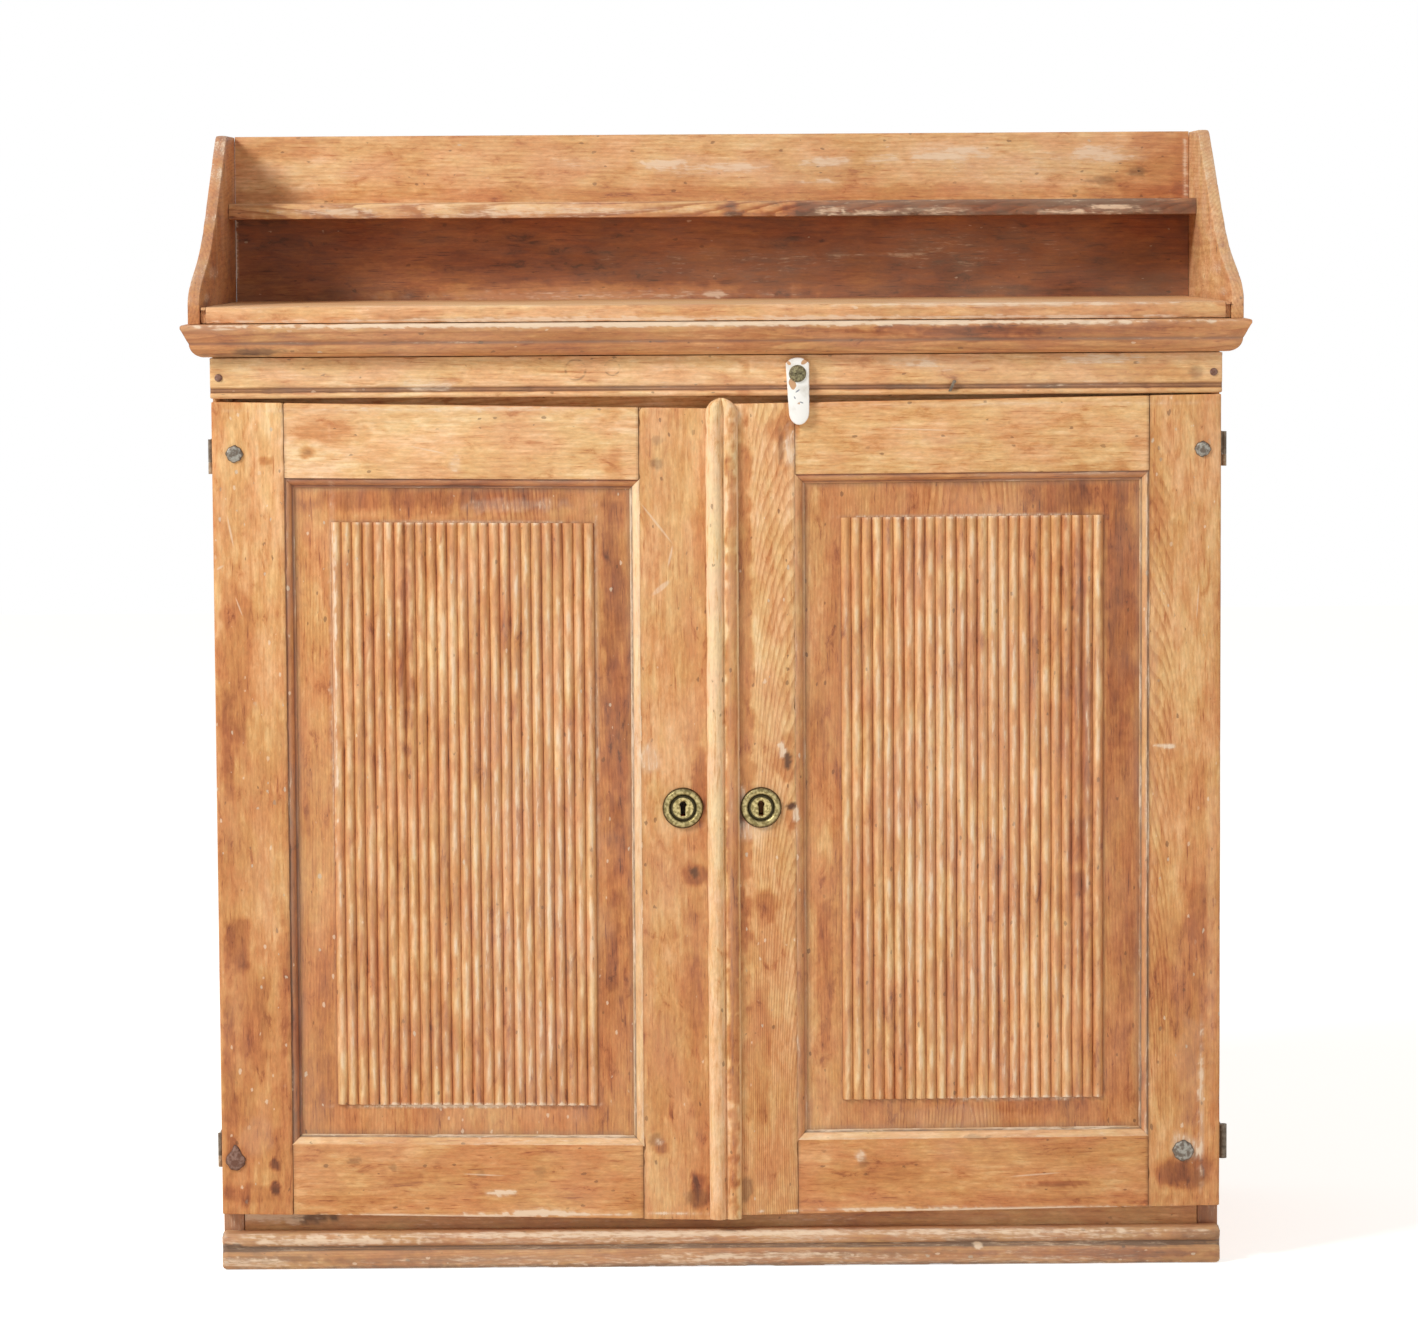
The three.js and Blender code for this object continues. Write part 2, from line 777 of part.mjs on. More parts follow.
// Reeds stand side by side across a raised field in the middle of the panel
function reedOutline(centre, count) {
  const valley = panelFront - fieldRaise + reedDepth;
  const start = centre - (count * reedPitch) / 2;
  const crests = [];
  for (let i = 0; i < count; i += 1) {
    const reedCentre = start + (i + 0.5) * reedPitch;
    const reed = arc(reedCentre, valley, reedPitch / 2, reedDepth, lowerHalfShares, reedSteps);
    crests.push(...(i === 0 ? reed : reed.slice(1)));
  }
  const root = panelFront + panelThickness / 2;
  return [[start, root], ...crests, [start + count * reedPitch, root]];
}

function reededPanel(door) {
  const ends = [doorX(door, hingeStileWidth), doorX(door, lockJoint)].sort((a, b) => a - b);
  const [x0, x1] = [ends[0] + panelPlay, ends[1] - panelPlay];
  const bottom = door.bottom + bottomRailHeight;
  const top = door.bottom + doorHeight - topRailHeight;
  const flat = prism(rectangle(x0, x1, panelFront, panelBack), 'z', bottom + panelPlay, top - panelPlay);
  const count = Math.floor((ends[1] - ends[0] - 2 * fieldSideMargin) / reedPitch);
  const outline = reedOutline((ends[0] + ends[1]) / 2, count);
  const field = prism(outline, 'z', bottom + fieldBottomMargin, top - fieldTopMargin);
  const whole = joined(sagged(flat, door), sagged(field, door));
  return named(`${door.name}_door_panel`, geometryOf(whole), wood(pineLight));
}

// A round bead and a flatter strip beside it, rounded off at the top
function astragal(door) {
  const x0 = -astragalOverlap;
  const back = doorFront - gap;
  const beadCentre = x0 + astragalBeadWidth / 2;
  const bead = arc(beadCentre, back, astragalBeadWidth / 2, astragalThickness, astragalShares, 2 * mouldSteps);
  const right = x0 + astragalWidth;
  const outline = [
    ...bead,
    [x0 + astragalBeadWidth, back - astragalFlatThickness],
    [right - mouldingStep, back - astragalFlatThickness],
    [right, back - astragalFlatThickness + mouldingStep],
    [right, back],
  ];
  const bottom = door.bottom - door.outerDrop - astragalBelow;
  const top = door.bottom + doorHeight - door.outerDrop + astragalAbove;
  const strip = solid(prism(outline, 'z', bottom, top));
  const half = astragalWidth / 2;
  const keeper = [
    [x0 - overrun, bottom - overrun],
    [right + overrun, bottom - overrun],
    [right + overrun, top - half],
    ...arc(x0 + half, top - half, half, half, halfTurnShares, curveSteps),
    [x0 - overrun, top - half],
  ];
  const rounded = strip.intersect(solid(prism(keeper, 'y', back - astragalThickness - overrun, back + overrun)));
  return named('astragal', geometryOf(rounded), wood(pineLight));
}

function escutcheon(door) {
  const base = doorFront - gap;
  const profile = [
    [0, base - escutcheonRimHeight],
    [escutcheonBossRadius, base - escutcheonRimHeight],
    [escutcheonBossRadius, base - escutcheonDishHeight],
    [escutcheonDishRadius, base - escutcheonDishHeight],
    [(escutcheonDishRadius + escutcheonRadius) / 2, base - escutcheonHeight],
    [escutcheonRadius, base - escutcheonDishHeight],
    [escutcheonRadius, base],
    [0, base],
  ];
  const disc = solid(turned(profile, keyholeX(door), keyholeHeight));
  const cutters = keyholeCutters(door, 0, base - escutcheonHeight - overrun, base + overrun);
  return named(`${door.name}_escutcheon`, geometryOf(cut(disc, ...cutters)), metal(brassOld));
}

function between(a, b) {
  return [a, b].sort((first, second) => first - second);
}

function lockCase(door) {
  const y = [doorBack + gap, doorBack + gap + lockDepth];
  const z = [keyholeHeight - lockHeight / 2, keyholeHeight + lockHeight / 2];
  const whole = solid(board(between(door.side * boltTip, door.side * (boltTip + lockWidth)), y, z));
  const channel = board(
    between(door.side * (boltTip - overrun), door.side * (boltTip + boltLength + boltPlay)),
    [boltCentreY - boltThickness / 2 - boltPlay, boltCentreY + boltThickness / 2 + boltPlay],
    [keyholeHeight - boltHeight / 2 - boltPlay, keyholeHeight + boltHeight / 2 + boltPlay],
  );
  return named(`${door.name}_lock_case`, geometryOf(cut(whole, channel)), metal(ironDark));
}

function lockBolt(door) {
  const x = between(door.side * (boltTip + boltPlay / 2), door.side * (boltTip + boltLength));
  const y = [boltCentreY - boltThickness / 2, boltCentreY + boltThickness / 2];
  const z = [keyholeHeight - boltHeight / 2, keyholeHeight + boltHeight / 2];
  return named(`${door.name}_lock_bolt`, board(x, y, z), metal(ironGrey));
}

// Iron leaf let into the back of the hinge stile, with its knuckle at the door's edge
function hingeLeaf(door, hinge) {
  const low = hinge.height - knuckleHeight / 2;
  const high = hinge.height + knuckleHeight / 2;
  const knuckleLow = hinge.height + pintleTop + gap;
  const y = [doorBack - hingeIron, doorBack];
  const plate = board(between(doorX(door, gap), doorX(door, leafLength)), y, [low, high]);
  const axis = hingeAxisX(door);
  const neck = board(between(axis, doorX(door, 2 * gap)), y, [knuckleLow, high]);
  const barrel = uprightRod(axis, hingeAxisY, hinge.knuckle, knuckleLow, high);
  const bore = uprightRod(axis, hingeAxisY, hinge.pin + pinPlay, low - overrun, high + overrun);
  const hole = rod(rivetX(door, hinge), hinge.rivetHeight, rivetShaftRadius + gap, doorFront, overrun);
  const whole = cut(joined(plate, neck, barrel), bore, hole);
  return named(`${door.name}_${hinge.name}_hinge_leaf`, geometryOf(whole), metal(ironDark));
}

// Pintle on the case: a plate with two nail heads, a barrel and the pin that carries the door
function pintle(door, hinge) {
  const low = hinge.height - knuckleHeight / 2;
  const barrelTop = hinge.height + pintleTop;
  const face = caseHalf + gap;
  const x = between(door.side * face, door.side * (face + plateIron));
  const plateZ = [hinge.height - plateHeight / 2, hinge.height + plateHeight / 2];
  const plate = board(x, [plateSetback, plateSetback + plateLength], plateZ);
  const neck = board(x, [hingeAxisY, plateSetback + weld], [low, barrelTop]);
  const axis = hingeAxisX(door);
  const barrel = uprightRod(axis, hingeAxisY, hinge.knuckle, low, barrelTop);
  const pin = uprightRod(axis, hingeAxisY, hinge.pin, barrelTop - weld, low + knuckleHeight);
  const nails = [-1, 1].map((direction) => {
    const head = new THREE.CylinderGeometry(plateNailRadius / 2, plateNailRadius, plateNailHeight + weld, curveSteps);
    head.rotateZ((-door.side * Math.PI) / 2);
    const out = face + plateIron + (plateNailHeight - weld) / 2;
    const y = plateSetback + plateLength / 2;
    head.translate(door.side * out, y, hinge.height + (direction * plateNailSpacing) / 2);
    return head;
  });
  const whole = joined(plate, neck, barrel, pin, ...nails);
  return named(`${door.name}_${hinge.name}_hinge_pintle`, geometryOf(whole), metal(ironDark));
}

function teardropOutline(x, z, radius) {
  const round = arc(x, z, radius, radius, teardropShares, 2 * curveSteps);
  return [...round, [x, z + teardropRise]];
}

function rivet(door, hinge) {
  const x = rivetX(door, hinge);
  const z = hinge.rivetHeight;
  const { radius, teardrop } = hinge.rivet;
  const base = doorFront - gap;
  const front = base - rivetHeadHeight;
  const shaft = rod(x, z, rivetShaftRadius, base - weld, doorBack - gap);
  const dome = turned([
    [0, front],
    [radius / 2, front + rivetHeadHeight / 6],
    [radius, base - rivetHeadHeight / 3],
    [radius, base],
    [0, base],
  ], x, z);
  const drop = prism(teardropOutline(x, z, radius), 'y', front, base);
  const head = teardrop ? drop : dome;
  return named(`${door.name}_${hinge.name}_hinge_rivet`, geometryOf(joined(head, shaft)), metal(ironGrey));
}

function doorParts(door) {
  const parts = [
    hingeStile(door),
    lockStile(door),
    topRail(door),
    bottomRail(door),
    reededPanel(door),
    escutcheon(door),
    lockCase(door),
    lockBolt(door),
  ];
  hinges(door).forEach((hinge) => {
    parts.push(hingeLeaf(door, hinge));
    parts.push(rivet(door, hinge));
  });
  return parts;
}

// Turn button: a small painted wooden latch that hangs from its screw over the right door
function buttonOutline() {
  const cornerZ = Math.sqrt(buttonTopRadius ** 2 - buttonHalfWidth ** 2);
  const cornerShare = Math.atan2(cornerZ, buttonHalfWidth) / (2 * Math.PI);
  const topShares = [cornerShare, halfTurnShares[1] - cornerShare];
  const top = arc(buttonX, buttonPivotHeight, buttonTopRadius, buttonTopRadius, topShares, curveSteps);
  const endTop = buttonPivotHeight - buttonDrop + buttonEndHeight;
  const endHalf = buttonHalfWidth - buttonTaper / 2;
  const endCentre = buttonX + buttonTaper / 2;
  const end = arc(endCentre, endTop, endHalf, buttonEndHeight, lowerHalfShares, curveSteps);
  return [...top, ...end];
}

function turnButton() {
  const back = doorFront - buttonStandoff;
  const front = back - buttonThickness;
  const whole = solid(prism(buttonOutline(), 'y', front, back));
  const hole = rod(buttonX, buttonPivotHeight, screwShaftRadius + gap, front - overrun, back + overrun);
  return named('turn_button', geometryOf(cut(whole, hole)), wood(paintWhite));
}

function turnButtonScrew() {
  const base = doorFront - buttonStandoff - buttonThickness - gap;
  const front = base - screwHeadHeight;
  const dome = arc(0, base, screwHeadRadius, screwHeadHeight, ovoloShares, mouldSteps);
  const profile = [
    ...dome.map(([radius, y], i) => [i === 0 ? 0 : radius, y]),
    [screwShaftRadius, base],
    [screwShaftRadius, doorFront + screwDepth],
    [0, doorFront + screwDepth],
  ];
  const whole = solid(turned(profile, buttonX, buttonPivotHeight));
  const slot = board(
    [buttonX - screwHeadRadius - overrun, buttonX + screwHeadRadius + overrun],
    [front - overrun, front + screwSlotDepth],
    [buttonPivotHeight - screwSlotWidth / 2, buttonPivotHeight + screwSlotWidth / 2],
  );
  return named('turn_button_screw', geometryOf(cut(whole, slot)), metal(ironDark));
}

// Assembly
const carcass = new THREE.Group();
carcass.add(
  sidePanel('side_panel_left', -1),
  sidePanel('side_panel_right', 1),
  caseTop(),
  caseFloor(),
  rail('bottom_rail', boardsOffFloor, bottomRailTop, pineDark),
  rail('head_rail', headRailUnderside, topUnderside - gap, pineInside),
  ...backBoards(),
  centrePost(),
  innerShelf(),
  ...shelfCleats(),
  frieze(),
  friezeNail('frieze_nail_left', -caseHalf + nailInset),
  friezeNail('frieze_nail_right', caseHalf - nailInset),
  bentNail(),
  corniceFront(),
  corniceReturn('cornice_return_left', -1),
  corniceReturn('cornice_return_right', 1),
  plinth(),
);

const gallery = new THREE.Group();
gallery.add(
  galleryFloor(),
  gallerySide('gallery_side_left', -1),
  gallerySide('gallery_side_right', 1),
  galleryBack(),
  galleryShelf(),
);

const leftDoor = new THREE.Group();
leftDoor.add(...doorParts(doors.left));

const rightDoor = new THREE.Group();
rightDoor.add(...doorParts(doors.right), astragal(doors.right));

const pintles = new THREE.Group();
Object.values(doors).forEach((door) => {
  hinges(door).forEach((hinge) => pintles.add(pintle(door, hinge)));
});

const latch = new THREE.Group();
latch.add(turnButton(), turnButtonScrew());

// The origin lies under the middle of the whole cabinet
const frontMost = doorFront - corniceOverhang;
const buffet = new THREE.Group();
buffet.add(carcass, gallery, leftDoor, rightDoor, pintles, latch);
buffet.position.y = -(frontMost + caseDepth) / 2;

export default buffet;
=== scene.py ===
# %% [markdown]
# # An old pine buffet, stripped of its paint
# The real cabinet is country joinery: soft pine boards, planed by hand, painted, and stripped a
# century later. What makes it look old is not one texture but many small things: arrises worn
# round, stain left where the scraper could not reach, and paint crumbs in the hollows. Some shade
# is painted into the colour as well: hollows, reed grooves, a few mouldings and the back under the
# gallery shelf are darker than their wood, and a few edges carry painted highlights. The lesson
# takes each kind of piece in turn and shows one way to make it.

# %% The frame of imported parts
import math

import bmesh
import bpy
import numpy as np
from mathutils import Matrix, Vector


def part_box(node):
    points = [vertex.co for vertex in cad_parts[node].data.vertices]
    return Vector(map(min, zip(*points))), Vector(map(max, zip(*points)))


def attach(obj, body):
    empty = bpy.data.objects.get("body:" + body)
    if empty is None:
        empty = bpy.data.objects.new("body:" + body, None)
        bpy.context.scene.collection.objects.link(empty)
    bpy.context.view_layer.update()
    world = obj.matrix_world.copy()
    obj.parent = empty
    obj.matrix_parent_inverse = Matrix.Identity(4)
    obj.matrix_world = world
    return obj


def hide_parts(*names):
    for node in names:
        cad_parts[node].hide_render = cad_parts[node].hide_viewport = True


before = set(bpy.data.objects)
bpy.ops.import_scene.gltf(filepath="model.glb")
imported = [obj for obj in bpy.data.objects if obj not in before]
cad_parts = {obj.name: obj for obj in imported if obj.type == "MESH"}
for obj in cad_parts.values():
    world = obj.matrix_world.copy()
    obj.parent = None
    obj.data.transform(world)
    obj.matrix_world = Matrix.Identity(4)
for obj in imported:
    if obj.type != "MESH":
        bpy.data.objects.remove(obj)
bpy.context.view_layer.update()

# %% [markdown]
# ## Millimetres
# A joiner thinks in millimetres from the front of the case, so the lesson does too: x runs to the
# right, y runs back from the front edges of the sides, z runs up. One function turns such points
# into the frame's metres.

# %% Cabinet millimetres
MM = 0.001
CASE_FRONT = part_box("side_panel_left")[0].y / MM
CASE_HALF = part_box("side_panel_right")[1].x / MM


def to_frame(points):
    """Points in cabinet millimetres, as frame metres."""
    moved = np.array(points, float)
    moved[..., 1] += CASE_FRONT
    return moved * MM


def limits(node):
    """The lowest and highest corner of a CAD node, in cabinet millimetres."""
    shift = np.array([0, CASE_FRONT, 0])
    return [np.array(corner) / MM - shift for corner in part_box(node)]


print("case half width", round(CASE_HALF, 1), "front plane at", round(CASE_FRONT, 1))

# %% [markdown]
# ## Noise with a size in millimetres
# Wear, waviness and blotches are all slow, smooth randomness. A lattice of repeatable random
# numbers, blended between its points, gives that, and the size of its cells is the size of the
# lumps. It could be Blender's own noise, but numpy does a whole board at once.

# %% Noise
CELL_PRIMES = np.array([374761393, 668265263, 1440662683])
SEED_PRIME, MIXING_PRIME = 982451653, 1274126177


def lattice(cells, seed):
    """One repeatable random number from -1 to 1 for each whole-numbered cell."""
    mixed = (cells * CELL_PRIMES).sum(axis=1) + seed * SEED_PRIME
    mixed = mixed & 0xFFFFFFFF
    mixed = ((mixed ^ (mixed >> 13)) * MIXING_PRIME) & 0xFFFFFFFF
    mixed = mixed ^ (mixed >> 16)
    return (mixed & 0xFFFFFF) / 0x7FFFFF - 1.0


def noise(points, size, seed):
    """Smooth noise from -1 to 1, whose lumps are size millimetres long in x, y and z."""
    scaled = points / (np.ones(3) * size)
    base = np.floor(scaled).astype(np.int64)
    share = scaled - base
    share = share * share * (3 - 2 * share)
    total = np.zeros(len(points))
    for corner in np.ndindex(2, 2, 2):
        weight = np.prod(np.where(corner, share, 1 - share), axis=1)
        total += weight * lattice(base + corner, seed)
    return total


def layered(points, size, seed, layers=3):
    """Noise with finer and weaker noise on top."""
    parts = [noise(points, np.ones(3) * size / 2**k, seed + k) / 1.8**k for k in range(layers)]
    return sum(parts) / 1.4


def smoothstep(low, high, value):
    """Rises smoothly from 0 at low to 1 at high."""
    share = np.clip((value - low) / (high - low), 0, 1)
    return share * share * (3 - 2 * share)


# %% [markdown]
# ## Sections
# Every board, rail and moulding has a section that stays the same along its length. The section is
# walked as a closed line with rounded corners, and each point remembers how near it is to an arris,
# which wears, and to a hollow, which keeps dirt and is darkened in the colour as painted shade. A
# bevel modifier would round the corners too, but it would not say where they are.

# %% The outline of a section
ARRIS_REACH = 3.0
BACK_RADIUS = 0.8
HOLLOW_REACH = 1.6
SHARP_TURN = math.radians(25)


def outline(corners, step=3.0):
    """A closed section. corners are (a, b, radius, step to the next corner).

    Returns its points, its outward directions, and how near each point is to an arris and a hollow.
    """
    full = [tuple(c) + (0, step)[len(c) - 2 :] if len(c) < 4 else tuple(c) for c in corners]
    spots = np.array([c[:2] for c in full], float)
    ahead = np.roll(spots, -1, axis=0) - spots
    reach = np.linalg.norm(ahead, axis=1)
    ahead = ahead / reach[:, None]
    behind = np.roll(ahead, 1, axis=0)
    twist = behind[:, 0] * ahead[:, 1] - behind[:, 1] * ahead[:, 0]
    turn = np.arctan2(twist, (behind * ahead).sum(1))
    way = np.sign(turn.sum())
    turn = turn * way
    bends = []
    for i, (a, b, radius, _) in enumerate(full):
        cut = min(radius * math.tan(abs(turn[i]) / 2), 0.45 * min(reach[i], reach[i - 1]))
        steps = np.linspace(0, 1, 5)[:, None] if cut > 0.05 else np.array([[0.5]])
        start, end = spots[i] - behind[i] * cut, spots[i] + ahead[i] * cut
        bends.append((1 - steps) ** 2 * start + 2 * steps * (1 - steps) * spots[i] + steps**2 * end)
    points = []
    for i, bend in enumerate(bends):
        following = bends[(i + 1) % len(bends)][0]
        count = max(1, math.ceil(np.linalg.norm(following - bend[-1]) / full[i][3]))
        points.append(bend)
        points.append(bend[-1] + (following - bend[-1]) * np.linspace(0, 1, count + 1)[1:-1, None])
    points = np.concatenate(points)
    chord = np.roll(points, -1, axis=0) - np.roll(points, 1, axis=0)
    outward = np.stack([chord[:, 1], -chord[:, 0]], axis=1) * way
    outward /= np.linalg.norm(outward, axis=1)[:, None]
    arris, hollow = np.zeros(len(points)), np.zeros(len(points))
    for spot, angle in zip(spots, turn):
        away = np.linalg.norm(points - spot, axis=1)
        if angle > SHARP_TURN:
            arris = np.maximum(arris, np.exp(-((away / ARRIS_REACH) ** 2)))
        if angle < -SHARP_TURN:
            hollow = np.maximum(hollow, np.exp(-((away / HOLLOW_REACH) ** 2)))
    return points, outward, arris, hollow


def curve(centre, radii, start, end, count=7):
    """Points of an ellipse's arc, from start to end in degrees."""
    angles = np.radians(np.linspace(start, end, count))
    return [(centre[0] + radii[0] * math.cos(t), centre[1] + radii[1] * math.sin(t)) for t in angles]


# %% [markdown]
# ## Lofting
# A section is carried along its length in short steps, so that every few millimetres there is a
# vertex to wear, to stain or to let sag. The ends are eased, as a joiner does with two strokes of a
# block plane. Mitred ends follow a sloping plane instead.

# %% Carrying a section along
AXES = {"x": [2, 0, 1], "y": [0, 2, 1], "z": [0, 1, 2]}


class Shell:
    """A closed skin of rings: its points, outward directions, arris and hollow, all by ring."""

    def __init__(self, points, outward, arris, hollow):
        self.rings, self.around = points.shape[:2]
        self.points = points.reshape(-1, 3)
        self.outward = outward.reshape(-1, 3)
        self.arris = arris.reshape(-1)
        self.hollow = hollow.reshape(-1)

    def faces(self, first):
        """Faces between the rings, and one over each end, counted from vertex number first."""
        ring = np.arange(self.rings - 1)[:, None] * self.around + first
        here, after = np.arange(self.around), (np.arange(self.around) + 1) % self.around
        beyond = ring + self.around
        quads = np.stack([ring + here, ring + after, beyond + after, beyond + here], -1)
        last = (self.rings - 1) * self.around + first
        ends = [list(range(first, first + self.around))[::-1], list(range(last, last + self.around))]
        return quads.reshape(-1, 4).tolist() + ends


def sweep(section, axis, low, high, step=3.0, ease=0.6):
    """Carries a section along an axis. low and high are numbers, or functions of the section's points."""
    points, outward, arris, hollow = section
    low, high = [end(points) if callable(end) else np.full(len(points), float(end)) for end in (low, high)]
    count = max(2, math.ceil((high - low).max() / step))
    shares = np.linspace(0, 1, count + 1)[:, None]
    along = low + ease + (high - low - 2 * ease) * shares
    inset = np.zeros(count + 1)
    if ease:
        along = np.concatenate([[low, low + 0.3 * ease], along, [high - 0.3 * ease, high]])
        inset = np.concatenate([[ease, 0.3 * ease], inset, [0.3 * ease, ease]])
    flat = points - outward * inset[:, None, None]
    parts = np.concatenate([flat, along[..., None]], axis=2)
    order = AXES[axis]
    spread = np.concatenate([np.broadcast_to(outward, flat.shape), np.zeros(along.shape + (1,))], axis=2)
    near_end = np.exp(-((np.minimum(along - low, high - along) / ARRIS_REACH) ** 2)) if ease else 0
    arris = np.maximum(np.broadcast_to(arris, along.shape), near_end * 0.7)
    return Shell(parts[..., order], spread[..., order], arris, np.broadcast_to(hollow, along.shape))


def box_section(a0, a1, b0, b1, radius=1.2, step=3.0):
    """A board's section, with its worn arrises at b0 and its sharper ones at b1."""
    front = [(a0, b0, radius, step), (a1, b0, radius, step)]
    return outline(front + [(a1, b1, BACK_RADIUS, step), (a0, b1, BACK_RADIUS, step)])


# %% [markdown]
# ## Wear
# A hundred years of hands and cloths take wood away: arrises go round and pick up small chips, and
# broad faces stay slightly wavy from the plane. All of it goes inward, so the piece never grows.

# %% Wear
def wear(shell, seed, rub=0.5, chips=1.4, wavy=0.3):
    """Pushes the skin inward, most of all along its arrises."""
    points = shell.points
    bites = np.clip(layered(points, 16, seed) - 0.25, 0, 1) * 2
    waves = 0.5 + 0.5 * noise(points, (70, 70, 110), seed + 7)
    depth = shell.arris * (rub * (1 + 0.6 * noise(points, 45, seed + 3)) + chips * bites) + wavy * waves
    shell.points = points - shell.outward * depth[:, None]
    return shell


# %% [markdown]
# ## Meshes and pieces
# Shells become one mesh, and the mesh rides on the body that carries it in the real cabinet. The
# CAD solid it stands for is then hidden.

# %% From shells to a piece
def build(name, shells, smooth=35):
    """One object from closed shells, with the arris and hollow values kept on its points."""
    faces, first = [], 0
    for shell in shells:
        faces += shell.faces(first)
        first += len(shell.points)
    mesh = bpy.data.meshes.new(name)
    mesh.from_pydata(to_frame(np.concatenate([s.points for s in shells])).tolist(), [], faces)
    for word in ("arris", "hollow"):
        values = np.concatenate([getattr(s, word) for s in shells]).astype(np.float32)
        mesh.attributes.new(word, "FLOAT", "POINT").data.foreach_set("value", values)
    work = bmesh.new()
    work.from_mesh(mesh)
    bmesh.ops.recalc_face_normals(work, faces=work.faces)
    work.to_mesh(mesh)
    work.free()
    mesh.shade_smooth()
    mesh.set_sharp_from_angle(angle=math.radians(smooth))
    piece = bpy.data.objects.new(name, mesh)
    bpy.context.scene.collection.objects.link(piece)
    return piece


def mount(piece, material, body, nodes):
    """Gives a piece its finish, its body and the CAD nodes it stands for."""
    piece.data.materials.clear()
    piece.data.materials.append(material)
    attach(piece, body)
    if nodes:
        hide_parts(*nodes)
    return piece


def cut(piece, cutter):
    """Takes the cutter's shape out of the piece, and deletes the cutter."""
    hole = piece.modifiers.new("hole", "BOOLEAN")
    hole.object, hole.solver = cutter, "FAST"
    bpy.context.view_layer.update()
    done = piece.evaluated_get(bpy.context.evaluated_depsgraph_get())
    mesh = bpy.data.meshes.new_from_object(done)
    piece.modifiers.clear()
    piece.data = mesh
    bpy.data.objects.remove(cutter)


# %% [markdown]
# ## Colours and nodes
# Colours are written as a screen shows them and turned to linear light in one place. Materials are
# node trees, and one small function adds a node with its settings and links.

# %% Colour and node helpers
SMOOTH = dict(interpolation_type="SMOOTHSTEP")
COLOURS = dict(data_type="RGBA", out=2)
TIMES = dict(operation="MULTIPLY")
TIMES_PLUS = dict(operation="MULTIPLY_ADD")
GREATER = dict(operation="MAXIMUM")


def linear(code):
    """An sRGB hex colour as linear red, green, blue and alpha."""
    parts = [int(code[i : i + 2], 16) / 255 for i in (1, 3, 5)]
    return [c / 12.92 if c <= 0.04045 else ((c + 0.055) / 1.055) ** 2.4 for c in parts] + [1.0]


def add(tree, kind, *values, named=None, out=0, **settings):
    """Adds a shader node, fills its first inputs in order, then the named ones, and returns an output."""
    node = tree.nodes.new("ShaderNode" + kind)
    for word, value in settings.items():
        setattr(node, word, value)
    for socket, value in [*enumerate(values), *(named or {}).items()]:
        if isinstance(value, bpy.types.NodeSocket):
            tree.links.new(value, node.inputs[socket])
        else:
            node.inputs[socket].default_value = value
    return node.outputs[out] if node.outputs else None


def new_material(name):
    """An empty node material with a Principled shader. Returns material, tree and shader."""
    material = bpy.data.materials.new(name)
    material.use_nodes = True
    tree = material.node_tree
    tree.nodes.clear()
    surface = add(tree, "BsdfPrincipled")
    add(tree, "OutputMaterial", surface)
    return material, tree, surface.node


# %% [markdown]
# ## Stripped pine
# Scots pine that was painted, stained by its paint and then stripped: pale wood, darker late wood
# in each year's ring, a red-brown stain in streaks, dark pits and crumbs of white ground coat. A
# photograph of wood would be quicker, but it would not follow each board's own rings. Here the
# rings come from the boards' geometry: each point knows which year's ring it lies in, and the
# shader only draws the ring's light and dark part. Real fibres are far finer than a pixel, so they
# are drawn coarser.

# %% Pine
PALE_TO_DARK = ["#F4D5AC", "#E6BA87", "#D39B65", "#C38350", "#A9683F", "#8A5034", "#633824"]
DARKEST_STAIN = 1.5
FIBRE_MM, STREAK_MM, MOTTLE_MM, FLECK_MM = 1.7, 5.0, 11.0, 2.6
PIT_MM, PIT_LONG_MM = 9.0, 15.0
MARK_DEPTH = 12

# scratches: x, z, half length, half width, slope in degrees
SCRATCHES = [
    (-63, 784, 30, 1.5, 52), (-49, 750, 13, 1.5, 103), (-58.7, 717, 14, 3.4, -39), (-506, 779, 20, 1.3, 79),
    (-517, 741, 5, 1.6, -30), (-498, 700, 12, 1.0, 70), (500, 700, 22, 0.9, 94), (-300, 862, 22, 1.0, 12),
    (210, 880, 40, 0.9, 2), (-250, 100, 26, 1.0, 3), (330, 96, 30, 1.0, -4), (466, 548, 13, 2.2, 4),
]
# cup marks: x, z, radius
CUP_MARKS = [(-146, 944, 12), (-108, 946, 9)]


def near_marks(tree, marks, y=-22.0):
    """A mask that is 1 on the listed scratches, or on the listed rings, of a front near y."""
    place = add(tree, "TexCoord", out="Object")
    total = 0.0
    for x, z, *shape in marks:
        is_ring = len(shape) == 1
        long, thin, slope = (shape[0], shape[0], 0) if is_ring else shape
        turn = (0, math.radians(slope), 0)
        size = (long * MM, MARK_DEPTH * MM, thin * MM)
        local = add(tree, "Mapping", place, to_frame((x, y, z)), turn, size, vector_type="TEXTURE")
        inner = add(tree, "TexGradient", local, gradient_type="SPHERICAL", out=1)
        low, high = (0.3, 0.15) if is_ring else (0.02, 0.4)
        mask = add(tree, "MapRange", inner, low, high)
        if is_ring:
            rim = add(tree, "MapRange", inner, 0.0, 0.1)
            mask = add(tree, "Math", mask, rim, **TIMES)
        total = add(tree, "Math", total, mask, **GREATER)
    return total


